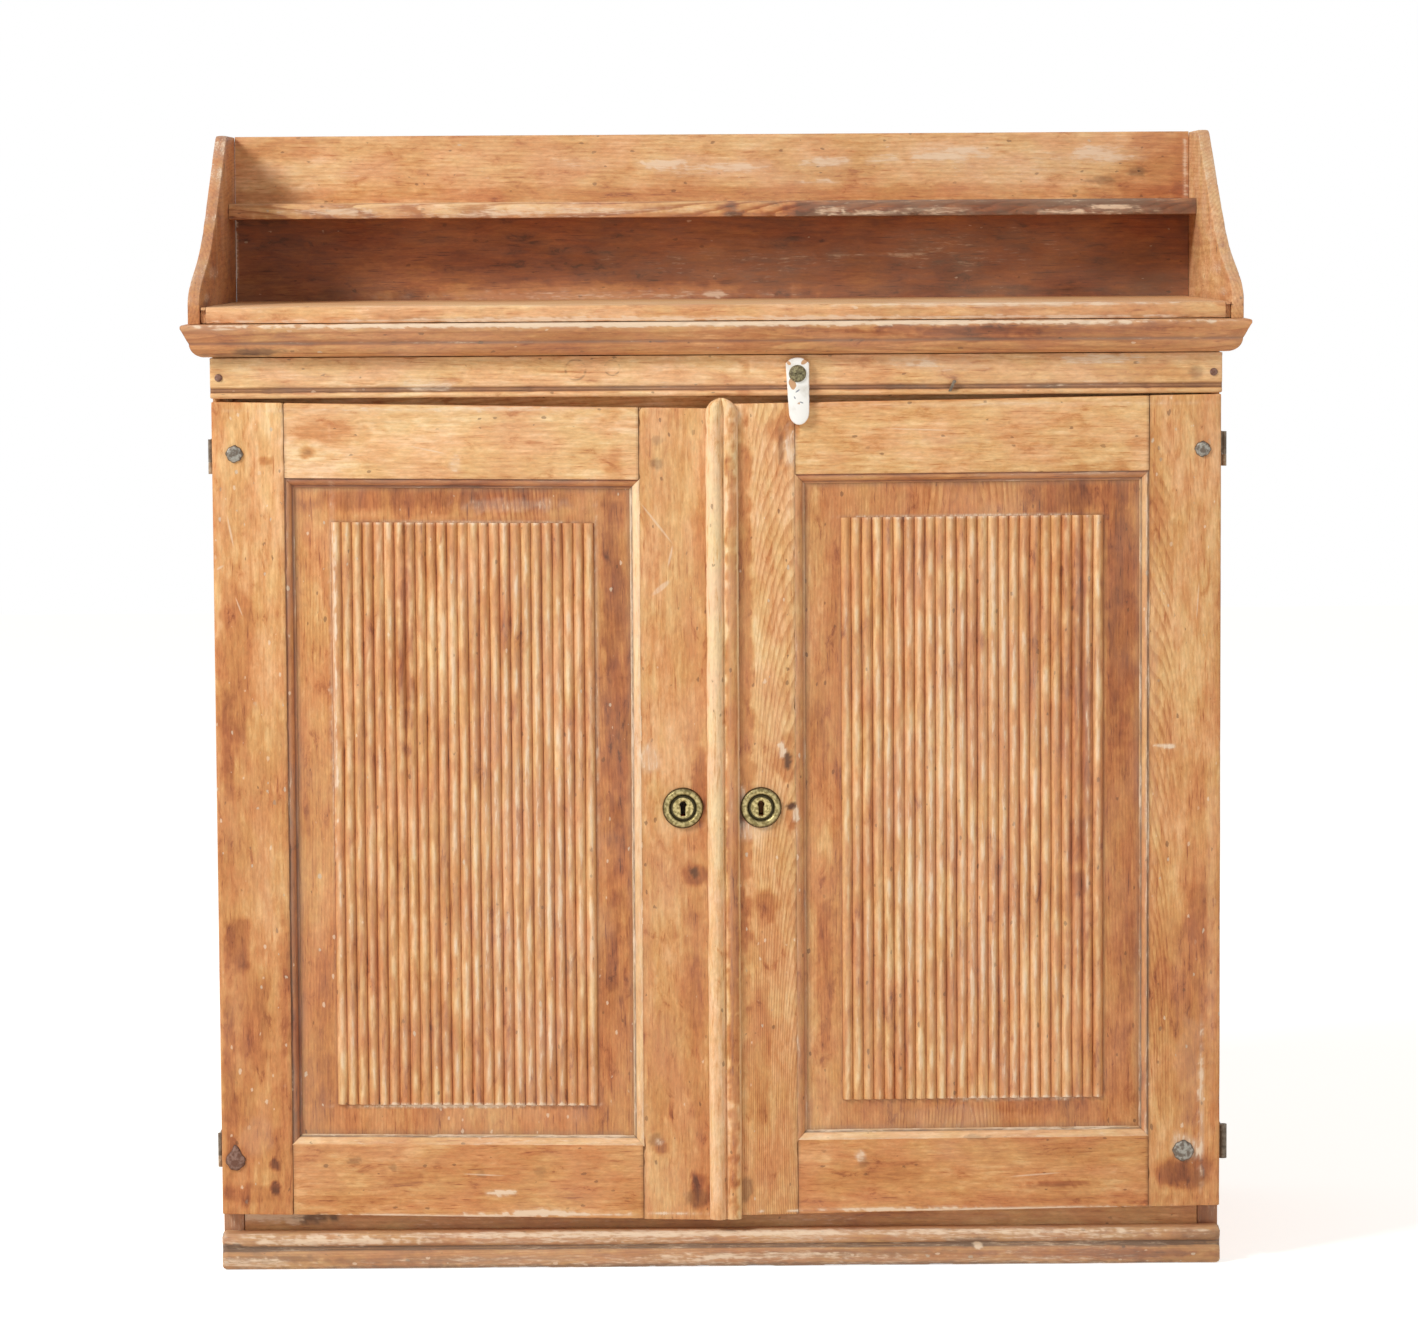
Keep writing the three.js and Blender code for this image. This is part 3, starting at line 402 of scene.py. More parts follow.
def pine(name, late, grime, crumb):
    """Old pine, pale to dark by its stain. late tints late wood, grime colours dirt and painted shade, and
    crumb paint.
    """
    material, tree, shader = new_material(name)
    words = ("ring", "figure", "tone", "stain", "white", "grime")
    point = {word: add(tree, "Attribute", attribute_name=word, out="Fac") for word in words}
    wood = add(tree, "Attribute", attribute_name="wood", out="Vector")

    def centred(value, weight, base=0.0):
        """A pattern from 0 to 1, weighed about its middle and added to base."""
        around = add(tree, "Math", value, 0.5, operation="SUBTRACT")
        return add(tree, "Math", around, weight, base, **TIMES_PLUS)

    def grain_noise(across, along, detail, rough=0.5, bend=0.0):
        """A pattern whose lumps are across by along millimetres in the board's own grain."""
        size = (1 / across, 1 / across, 1 / along)
        place = add(tree, "VectorMath", wood, size, **TIMES)
        inputs = {"Vector": place, "Scale": 1.0, "Detail": detail, "Roughness": rough, "Distortion": bend}
        return add(tree, "TexNoise", named=inputs)

    def kept(mask, pattern, low, high):
        """The part of a mask where a pattern has passed its range."""
        passed = add(tree, "MapRange", pattern, low, high, **SMOOTH)
        return add(tree, "Math", mask, passed, **TIMES)

    def cover(colour, code, mask, strength):
        """Lays a colour over another, as strongly as mask and strength say."""
        factor = add(tree, "Math", mask, strength, **TIMES)
        return add(tree, "Mix", factor, named={6: colour, 7: linear(code)}, **COLOURS)

    fibre = grain_noise(FIBRE_MM, FIBRE_MM * 14, 3.0)
    streak = grain_noise(STREAK_MM, STREAK_MM * 9, 5.0, 0.65, 0.25)
    mottle = grain_noise(MOTTLE_MM, MOTTLE_MM * 2.6, 6.0, 0.68, 0.5)
    cloud = grain_noise(60, 120, 4.0)
    fleck = grain_noise(FLECK_MM, FLECK_MM * 3.0, 3.0, 0.6, 0.4)
    hair = grain_noise(1.3, 26.0, 2.0)
    warmth = grain_noise(26.0, 60.0, 3.0)
    crumbs = grain_noise(2.0, 15.0, 5.0, 0.66, 0.3)

    # stain: slow clouds, streaks, blots and dark hairs
    depth = centred(mottle, 0.8, centred(streak, 0.75, centred(cloud, 0.7, point["stain"])))
    blots = kept(add(tree, "MapRange", mottle, 0.56, 0.72, **SMOOTH), cloud, 0.4, 0.6)
    depth = add(tree, "Math", blots, 0.35, depth, **TIMES_PLUS)
    dark_hair = kept(add(tree, "MapRange", hair, 0.6, 0.7, **SMOOTH), streak, 0.42, 0.6)
    depth = add(tree, "Math", dark_hair, 0.4, depth, **TIMES_PLUS)
    depth = add(tree, "Math", depth, 1 / DARKEST_STAIN, use_clamp=True, **TIMES)
    stained = add(tree, "ValToRGB", depth)
    stops = stained.node.color_ramp.elements
    while len(stops) < len(PALE_TO_DARK):
        stops.new(0.5)
    for i, code in enumerate(PALE_TO_DARK):
        stops[i].position, stops[i].color = i / (len(PALE_TO_DARK) - 1), linear(code)

    # late wood: each year darkens slowly and ends at once
    year = add(tree, "Math", centred(fibre, 0.4, point["ring"]), operation="FRACT")
    late_wood = kept(add(tree, "MapRange", year, 0.3, 0.88, **SMOOTH), year, 1.0, 0.92)
    late_share = add(tree, "Math", late_wood, point["figure"], **TIMES)
    threads = add(tree, "Math", centred(fibre, 0.35, late_share), 0.0, **GREATER)
    threads = add(tree, "Math", threads, 1.0, operation="MINIMUM")
    inks = {6: stained, 7: linear(late)}
    colour = add(tree, "Mix", threads, named=inks, blend_type="MULTIPLY", **COLOURS)
    light = add(tree, "Math", 1.0, centred(fleck, 0.5, point["tone"]), operation="ADD")
    colour = add(tree, "VectorMath", colour, named={"Scale": light}, operation="SCALE")
    warm = add(tree, "MapRange", warmth, 0.35, 0.65, **SMOOTH)
    tint = add(tree, "Mix", warm, named={6: linear("#FFF5F3"), 7: linear("#FEFFF4")}, **COLOURS)
    colour = add(tree, "Mix", 1.0, named={6: colour, 7: tint}, blend_type="MULTIPLY", **COLOURS)

    # dirt and painted shade: pits, dashes, two cup marks and the dirt held on the points, which in hollows is
    # painted shade as well
    pit_size = (1 / PIT_MM, 1 / PIT_MM, 1 / PIT_LONG_MM)
    pit_place = add(tree, "VectorMath", wood, pit_size, **TIMES)
    pit = add(tree, "TexVoronoi", named={"Vector": pit_place, "Scale": 1.0}).node.outputs
    chance = add(tree, "SeparateColor", pit["Color"]).node.outputs
    pit_reach = add(tree, "Math", chance[2], 0.16, **TIMES)
    from_rim = add(tree, "Math", pit["Distance"], pit_reach, operation="SUBTRACT")
    inside = add(tree, "MapRange", centred(fleck, 0.45, from_rim), 0.05, 0.0, **SMOOTH)
    dark_pit = kept(inside, chance[0], 0.5, 0.75)
    dash = kept(add(tree, "MapRange", fleck, 0.64, 0.74, **SMOOTH), mottle, 0.45, 0.6)
    dirt = add(tree, "Math", point["grime"], add(tree, "Math", 0.5, mottle, operation="ADD"), **TIMES)
    dirt = add(tree, "Math", dash, 0.3, dirt, **TIMES_PLUS)
    dirt = add(tree, "Math", dark_pit, 0.55, dirt, use_clamp=True, **TIMES_PLUS)
    colour = add(tree, "Mix", dirt, named={6: colour, 7: linear(grime)}, **COLOURS)
    colour = cover(colour, grime, kept(near_marks(tree, CUP_MARKS), streak, 0.4, 0.6), 0.5)

    # what is left of the white ground coat: a film, crumbs, scratches and filled pits
    film = add(tree, "Math", point["white"], 1.5, **TIMES)
    thin = add(tree, "Math", streak, mottle, operation="ADD")
    film = add(tree, "Math", film, thin, use_clamp=True, **TIMES)
    colour = cover(colour, crumb, film, 0.4)
    coat = add(tree, "Math", point["white"], crumbs, operation="ADD")
    chalk = add(tree, "MapRange", coat, 0.8, 1.1, **SMOOTH)
    pale_pit = kept(add(tree, "Math", inside, 0.7, **TIMES), chance[1], 0.78, 0.9)
    chalk = add(tree, "Math", chalk, pale_pit, **GREATER)
    scratch = kept(near_marks(tree, SCRATCHES), crumbs, 0.3, 0.5)
    chalk = add(tree, "Math", add(tree, "Math", scratch, 0.6, **TIMES), chalk, **GREATER)
    colour = cover(colour, crumb, chalk, 0.8)
    tree.links.new(colour, shader.inputs["Base Color"])

    rough = add(tree, "Math", fibre, 0.16, 0.48, **TIMES_PLUS)
    rough = add(tree, "Math", chalk, 0.2, rough, **TIMES_PLUS)
    tree.links.new(rough, shader.inputs["Roughness"])
    shader.inputs["Specular IOR Level"].default_value = 0.35
    height = add(tree, "Math", fibre, 0.5, **TIMES)
    for pattern, rise in ((late_share, 0.4), (fleck, 0.5), (dark_pit, -1.0), (chalk, 0.6)):
        height = add(tree, "Math", pattern, rise, height, **TIMES_PLUS)
    bump = add(tree, "Bump", named={"Strength": 0.4, "Distance": 0.0007, "Height": height})
    tree.links.new(bump, shader.inputs["Normal"])
    return material


STRIPPED_PINE = pine("stripped_pine", "#C9A27C", "#5E3A24", "#EED6BA")
BARE_PINE = pine("bare_pine", "#CBA680", "#5A4030", "#E8D8C4")
print("materials:", STRIPPED_PINE.name, BARE_PINE.name)

# %% [markdown]
# ## Painting a board
# Each board was sawn from its own place in a log, which decides its rings: straight lines when the
# pith is far to one side, arches when it lies behind the face and runs at a slant. The board's
# points get their ring number, and with it their stain, dirt, crumbs, painted shade and painted
# highlights, by listed patches in millimetres. Texture painting would need UVs and an image; values
# on points need neither.

# %% Painting
def patch_weight(points, across, along, patch, seed):
    """How strongly an elliptical patch covers each point, with an uneven rim."""
    _, a, b, ra, rb, strength = patch
    away = np.hypot((across - a) / ra, (along - b) / rb)
    near = away < 1.7
    lumps = min(max(min(ra, rb), 6.0), 30.0)
    away[near] += 0.45 * layered(points[near], lumps, seed)
    return strength * (1 - smoothstep(0.6, 1.1, away))


def paint(piece, lay, seed, pith=(60, 70), lean=(0.0, 0.0), ring=3.0, figure=0.3, knots=(),
          stain=0.2, fall=0.14, sunk=0.0, below=None, blotch=0.12, lump=(60, 60, 190), rubbed=0.0,
          tone=0.0, grime=0.0, seam=0.5, white=0.0, edge_white=0.0, groove_white=0.6, wear_mm=(9, 9, 34),
          patches=(), face=("x", "z"), outer=True):
    """Writes ring, figure, tone, stain, white and grime on a board's points.

    lay names the axes across, through and along the grain. pith is the log's centre across and behind
    the face, lean its slant, and ring the width of a year. fall adds stain towards the floor, sunk adds
    stain in hollows that is also painted shade, and below adds stain under a height, except on the back
    face, that is also painted shade. seam is dirt in hollows that is also painted shade, edge_white and
    groove_white are paint left on arrises and in hollows, which on reed crests is also a painted
    highlight, and rubbed takes stain off the arrises in lumps of wear_mm.
    """
    mesh = piece.data
    flat = np.zeros(len(mesh.vertices) * 3, np.float32)
    mesh.vertices.foreach_get("co", flat)
    points = flat.reshape(-1, 3).astype(float) / MM - [0, CASE_FRONT, 0]
    arris, hollow = np.zeros(len(points), np.float32), np.zeros(len(points), np.float32)
    mesh.attributes["arris"].data.foreach_get("value", arris)
    mesh.attributes["hollow"].data.foreach_get("value", hollow)
    grain = points[:, ["xyz".index(c) for c in lay]]
    middle = (grain.min(0) + grain.max(0)) / 2
    along = grain[:, 2] - middle[2]
    sway = 14 * noise(np.stack([along * 0, along * 0 + seed, along], 1), 420, seed + 11)
    across = grain[:, 0] - middle[0] - pith[0] - lean[0] * along - sway
    deep = grain[:, 1] - middle[1] - pith[1] - lean[1] * along
    years = np.hypot(across, deep)
    years += 4 * layered(grain, np.array([60, 60, 420]), seed + 5) + 0.6 * noise(grain, (9, 9, 120), seed + 6)
    values = {"figure": np.full(len(points), float(figure)), "grime": grime + 0.0 * along}
    values["stain"] = stain + blotch * layered(grain, np.array(lump), seed + 21)
    # hollows take extra stain, which is also painted shade
    values["stain"] += fall * (480 - points[:, 2]) / 430 + sunk * hollow
    # under a height, all but the back face take extra stain, which is also painted shade
    if below:
        values["stain"] += below[1] * (points[:, 2] < below[0]) * (points[:, 1] < points[:, 1].max() - 2)
    values["tone"] = tone + 0.05 * noise(grain, (90, 90, 400), seed + 22)
    values["white"] = white + 0.12 * layered(grain, np.array([30, 30, 80]), seed + 23)
    for a, b, radius in knots:
        off_a, off_b = grain[:, 0] - a, grain[:, 2] - b
        years += 2.2 * radius * np.exp(-((off_a / (2.2 * radius)) ** 2) - (off_b / (6 * radius)) ** 2)
        away = np.hypot(off_a, off_b * 0.85) / radius + 0.15 * noise(points, 4, seed + 31)
        values["grime"] = values["grime"] + 0.55 * (1 - smoothstep(0.6, 1.15, away))
        values["stain"] = values["stain"] + 0.8 * np.exp(-((away / 2.4) ** 2))
    first, second = ["xyz".index(c) for c in face]
    third = 3 - first - second
    shown = points[:, third] < (points[:, third].min() + points[:, third].max()) / 2 + 1 if outer else 1
    for i, patch in enumerate(patches):
        weight = patch_weight(points, points[:, first], points[:, second], patch, seed + 41 + i)
        values[patch[0]] = values[patch[0]] + weight * shown
    gaps = 0.5 + 0.5 * layered(grain, np.array(wear_mm), seed + 51, 2)
    # hollows take dirt that is also painted shade; arrises and hollows keep paint crumbs, which on the reeds'
    # crests are also a painted highlight
    values["grime"] = values["grime"] + seam * hollow * (0.7 + 0.6 * gaps) + arris * 0.1 * gaps
    values["white"] = values["white"] + edge_white * np.maximum(groove_white * hollow, 0.7 * arris) * gaps
    values["stain"] = values["stain"] - rubbed * arris * (smoothstep(0.35, 0.65, gaps) - 0.3)
    values["tone"] = values["tone"] + arris * 0.1 * (1 - gaps)
    values["ring"] = years / ring
    for word, value in values.items():
        mesh.attributes.new(word, "FLOAT", "POINT").data.foreach_set("value", value.astype(np.float32))
    shift = np.array([seed * 37.0, seed * 11.0, seed * 53.0])
    wood = mesh.attributes.new("wood", "FLOAT_VECTOR", "POINT")
    wood.data.foreach_set("vector", (grain + shift).astype(np.float32).reshape(-1))
    return piece


def board(name, shells, body, nodes, lay, seed, material=STRIPPED_PINE, slot="pine", wavy=0.3, **finish):
    """Wears, builds, paints and mounts one board."""
    piece = build(name, [wear(shell, seed, wavy=wavy) for shell in shells])
    paint(piece, lay, seed, **finish)
    return mount(piece, material, body, nodes)


# %% [markdown]
# ## The case
# Two wide side boards, a top, a floor, a shelf on cleats and four back boards. The inside was never
# painted, so it keeps the colour of plain old pine. These boards are seen only in passing, so they
# get long steps and few vertices.

# %% Case boards
INSIDE = dict(material=BARE_PINE, slot="pine_inside", stain=0.42, figure=0.4)


def plain_board(name, axis, lay, seed, step=9.0, **finish):
    """A board that fills its CAD node's box."""
    low, high = limits(name)
    along = "xyz".index(axis)
    a, b = [i for i in range(3) if i != along]
    section = box_section(low[a], high[a], low[b], high[b], 1.0, step)
    shell = sweep(section, axis, low[along], high[along], step, 0.8)
    return board(name, [shell], "carcass", [name], lay, seed, wavy=0.2, **finish)


SIDE_PATCHES = [("grime", 0, 45, 16, 24, 0.3), ("stain", 0, 45, 16, 26, 0.3), ("white", 2, 48, 12, 14, 0.3)]
SIDE_FINISH = dict(stain=0.5, figure=0.4, ring=4.2, pith=(30, 90), lean=(0.0, 0.05), face=("y", "z"),
                   outer=False, patches=SIDE_PATCHES)
plain_board("side_panel_left", "z", "yxz", 11, step=6.0, knots=[(150, 700, 8), (300, 260, 10)], **SIDE_FINISH)
plain_board("side_panel_right", "z", "yxz", 12, step=6.0, knots=[(110, 330, 9), (290, 800, 7)], **SIDE_FINISH)
for name in ("case_top", "case_floor", "inner_shelf"):
    plain_board(name, "x", "yzx", 13 + len(name), **INSIDE)
for name in ("head_rail", "shelf_cleat_back"):
    plain_board(name, "x", "zyx", 20 + len(name), **INSIDE)
for name in ("shelf_cleat_left", "shelf_cleat_right"):
    plain_board(name, "y", "zxy", 30 + len(name), **INSIDE)
for number in (1, 2, 3, 4):
    plain_board(f"back_board_{number}", "z", "xyz", 50 + number, pith=(40, -80), **INSIDE)
print("case boards done")

# %% [markdown]
# The centre post takes the two lock bolts, so it has a mortise on each side. A boolean cuts them,
# as a chisel would.

# %% Centre post
POST_BOLT_Y, POST_BOLT_Z = sum(limits("left_lock_bolt"))[1:] / 2
POST_CORE, CUTTER_REACH = 7.5, 25
MORTISE_HALF_DEPTH, MORTISE_HALF_HEIGHT = 4, 8.5


def block(name, a, b):
    """A plain block between two corners, for cutting."""
    section = outline([(a[0], a[1]), (b[0], a[1]), (b[0], b[1]), (a[0], b[1])], 50)
    return build(name, [sweep(section, "z", a[2], b[2], 500, 0)])


low, high = limits("centre_post")
section = box_section(low[0], high[0], low[1], high[1], 1.2, 8)
post = build("centre_post_wood", [wear(sweep(section, "z", low[2], high[2], 9), 61)])
for side in (-1, 1):
    near, far = sorted([side * POST_CORE, side * CUTTER_REACH])
    below = (near, POST_BOLT_Y - MORTISE_HALF_DEPTH, POST_BOLT_Z - MORTISE_HALF_HEIGHT)
    above = (far, POST_BOLT_Y + MORTISE_HALF_DEPTH, POST_BOLT_Z + MORTISE_HALF_HEIGHT)
    cut(post, block("mortise", below, above))
paint(post, "xyz", 61, stain=0.42, figure=0.4)
mount(post, BARE_PINE, "carcass", ["centre_post"])

# %% [markdown]
# ## Doors: the plan
# Both doors are frame and panel: two stiles, two rails, a mitred moulding inside the frame and a
# panel in a groove. Their joints have worked loose, and they sag at the meeting edge. Every door
# piece is made square first and then sheared by the same rule, so the pieces still fit.

# %% Door sizes and sag
DOOR_FRONT, DOOR_BACK = -23.0, -1.0
DOOR_EDGE = 524.5
DOOR_WIDTH = 523.5
DOOR_HEIGHT = 853.0
HINGE_STILE, LOCK_STILE = 75.5, 80.5
TOP_RAIL, BOTTOM_RAIL = 79.0, 75.0
LOCK_JOINT = DOOR_WIDTH - LOCK_STILE
MOULDING = 10.0
JOINT_GAP = 0.1
LAP = 0.3
JOINT_DIRT = 1.2
PANEL_FRONT, PANEL_BACK = -15.0, -7.0

DOORS = {
    "left": dict(side=-1, bottom=60.0, outer=10.0, inner=5.5, key=-37.5, body="left_door"),
    "right": dict(side=1, bottom=62.0, outer=7.5, inner=2.5, key=44.0, body="right_door"),
}
for word, door in DOORS.items():
    stile = limits(f"{word}_door_hinge_stile")
    print(word, "door's hinge stile runs from z", round(stile[0][2], 1), "to", round(stile[1][2], 1))


def door_x(door, u):
    """The x of a distance u from the door's hinge edge."""
    return door["side"] * (DOOR_EDGE - u)


def sag(shell, door):
    """Shears a shell down towards the meeting edge, more at the door's outer edges than at its openings."""
    points = shell.points
    u = DOOR_EDGE - door["side"] * points[:, 0]
    top = door["bottom"] + DOOR_HEIGHT - TOP_RAIL
    low = door["bottom"] + BOTTOM_RAIL
    share = np.clip(np.maximum((points[:, 2] - top) / TOP_RAIL, (low - points[:, 2]) / BOTTOM_RAIL), 0, 1)
    points[:, 2] -= (door["inner"] + (door["outer"] - door["inner"]) * share) * u / DOOR_WIDTH
    return shell


# %% [markdown]
# ## Door frames
# The stiles run the full height and the rails fit between them, so each corner shows an upright
# line. The moulding is a quirk and an ovolo, cut on the frame's inner edge and mitred in the
# corners.

# %% Frames
OVOLO_FOOT = [(4.8, -20.4), (6.3, -18.9), (7.0, -17.6), (7.3, -16.5),
              (MOULDING - 0.5, -16.2), (MOULDING - 0.4, -15.3)]
QUIRKED = [(-1.5, -15.3), (-1.5, -21.0), (0.5, -21.0), (1.5, -22.0), (3.0, -21.6)] + OVOLO_FOOT
PLAIN = [(-1.5, -15.3), (-1.5, -22.3), (0.8, -22.3), (3.0, -21.6)] + OVOLO_FOOT
BACK_LIP = [(0.0, -6.7), (MOULDING, -6.7), (MOULDING, DOOR_BACK), (0.0, DOOR_BACK)]


def door_piece(word, node, shells, lay, seed, name=None, smooth=35, hole=None, **finish):
    """Builds, cuts, paints and mounts one wooden piece of a door. node is what it is for in the CAD."""
    piece = build(name or node, shells, smooth)
    if hole:
        cut(piece, keyhole(*hole))
    paint(piece, lay, seed, **finish)
    return mount(piece, STRIPPED_PINE, DOORS[word]["body"], [node])


def stile(word, kind, u0, u1, worn_u, seed, hole=None, **finish):
    """An upright of the frame, from u0 to u1. Its edge at worn_u is rounder, and the other is a joint."""
    door = DOORS[word]
    x0, x1 = sorted([door_x(door, u0), door_x(door, u1)])
    worn_x = door_x(door, worn_u)
    radii = [2.2 if abs(x - worn_x) < 1 else 0.9 for x in (x0, x1)]
    front = [(x0, DOOR_FRONT, radii[0], 2.6), (x1, DOOR_FRONT, radii[1], 3)]
    section = outline(front + [(x1, DOOR_BACK, BACK_RADIUS, 8), (x0, DOOR_BACK, BACK_RADIUS, 3)])
    shell = sweep(section, "z", door["bottom"], door["bottom"] + DOOR_HEIGHT, 2.6, 1.0)
    joint = door_x(door, u0 + u1 - worn_u)
    shell.hollow = np.maximum(shell.hollow, np.exp(-(((shell.points[:, 0] - joint) / JOINT_DIRT) ** 2)))
    node = f"{word}_door_{kind}"
    shell = wear(sag(shell, door), seed)
    return door_piece(word, node, [shell], "xyz", seed, f"{node}_wood", hole=hole, **finish)


def rail(word, kind, z0, z1, seed, **finish):
    """A cross piece of the frame, from z0 to z1, with a dark joint at each end."""
    door = DOORS[word]
    x0, x1 = sorted([door_x(door, HINGE_STILE - LAP), door_x(door, LOCK_JOINT + LAP)])
    radii = (0.9, 1.6) if kind == "top_rail" else (1.6, 0.9)
    section = outline([(DOOR_FRONT, z0, radii[0], 2.6), (DOOR_BACK, z0, BACK_RADIUS, 3),
                       (DOOR_BACK, z1, BACK_RADIUS, 3), (DOOR_FRONT, z1, radii[1], 2.6)])
    shell = sag(sweep(section, "x", x0, x1, 2.6, 0.9), door)
    ends = np.minimum(shell.points[:, 0] - x0, x1 - shell.points[:, 0])
    shell.hollow = np.maximum(shell.hollow, np.exp(-((ends / JOINT_DIRT) ** 2)))
    wear(shell, seed, rub=0.25, chips=0.5)
    return door_piece(word, f"{word}_door_{kind}", [shell], "zyx", seed, **finish)


def moulding(word, kind, joint, way, seed, profile, **finish):
    """The moulding beside a stile or rail whose inner edge is at joint, mitred at both ends.

    way says on which side of the joint it lies.
    """
    door = DOORS[word]
    if kind.endswith("stile"):
        axis, lay = "z", "xyz"
        ends = door["bottom"] + BOTTOM_RAIL, door["bottom"] + DOOR_HEIGHT - TOP_RAIL
    else:
        axis, lay = "x", "zyx"
        ends = sorted([door_x(door, HINGE_STILE), door_x(door, LOCK_JOINT)])

    def inward(points):
        """How far points lie from the joint, as a mitre needs it."""
        spot = DOOR_EDGE - door["side"] * points[:, 0] if axis == "z" else points[:, 1]
        return way * (spot - joint) + JOINT_GAP

    def low_end(points):
        """The mitred end at the bottom or left."""
        return ends[0] + inward(points)

    def high_end(points):
        """The mitred end at the top or right."""
        return ends[1] - inward(points)

    shells = []
    for part in (profile, BACK_LIP):
        if axis == "z":
            section = outline([(door_x(door, joint + way * d), y) for d, y in part], 2.5)
        else:
            section = outline([(y, joint + way * d) for d, y in part], 2.5)
        shell = sweep(section, axis, low_end, high_end, 2.6, 0)
        shells.append(wear(sag(shell, door), seed, rub=0.2, chips=0.8, wavy=0.15))
    node = f"{word}_door_{kind}"
    return door_piece(word, node, shells, lay, seed, f"{node}_moulding", **finish)


# %% [markdown]
# ## Keyholes
# A keyhole is a round hole with a slot below. It goes through the escutcheon and the stile, and
# shows black because nothing behind it catches light.

# %% Keyhole cutter
KEY_Z = sum(corner[2] for corner in limits("left_escutcheon")) / 2
KEY_RADIUS, KEY_SLOT = 3.6, 5.0


def keyhole(x, grow, y0=-40.0, y1=5.0):
    """A cutter in the shape of a keyhole."""
    radius = KEY_RADIUS + grow
    top = curve((x, KEY_Z + 3.4), (radius, radius), -45, 225, 13)
    half, foot = KEY_SLOT / 2 + grow, KEY_Z - 8.5 - grow
    section = outline(top + [(x - half, foot), (x + half, foot)], 9)
    return build("keyhole", [sweep(section, "y", y0, y1, 100, 0)])


# %% Door frames, piece by piece
FRAME_FINISH = {
    "left": {
        "hinge_stile": dict(stain=0.54, figure=0.07, pith=(160, 60), lean=(0.04, 0.0), blotch=0.17),
        "lock_stile": dict(stain=0.49, figure=0.07, pith=(-140, 50), blotch=0.16, fall=0.07, white=0.05),
        "top_rail": dict(stain=0.38, figure=0.12, pith=(70, 120), white=0.06),
        "bottom_rail": dict(stain=0.46, figure=0.1, pith=(-60, 90), blotch=0.18),
    },
    "right": {
        "hinge_stile": dict(stain=0.54, figure=0.12, ring=2.6, pith=(-46, 30), lean=(0.0, 0.12),
                            blotch=0.2, fall=0.055),
        "lock_stile": dict(stain=0.35, figure=0.5, ring=2.2, pith=(46, 22), lean=(0.0, 0.1),
                           blotch=0.08, white=0.03),
        "top_rail": dict(stain=0.54, figure=0.12, pith=(80, 110)),
        "bottom_rail": dict(stain=0.46, figure=0.1, pith=(-60, 90), blotch=0.18),
    },
}
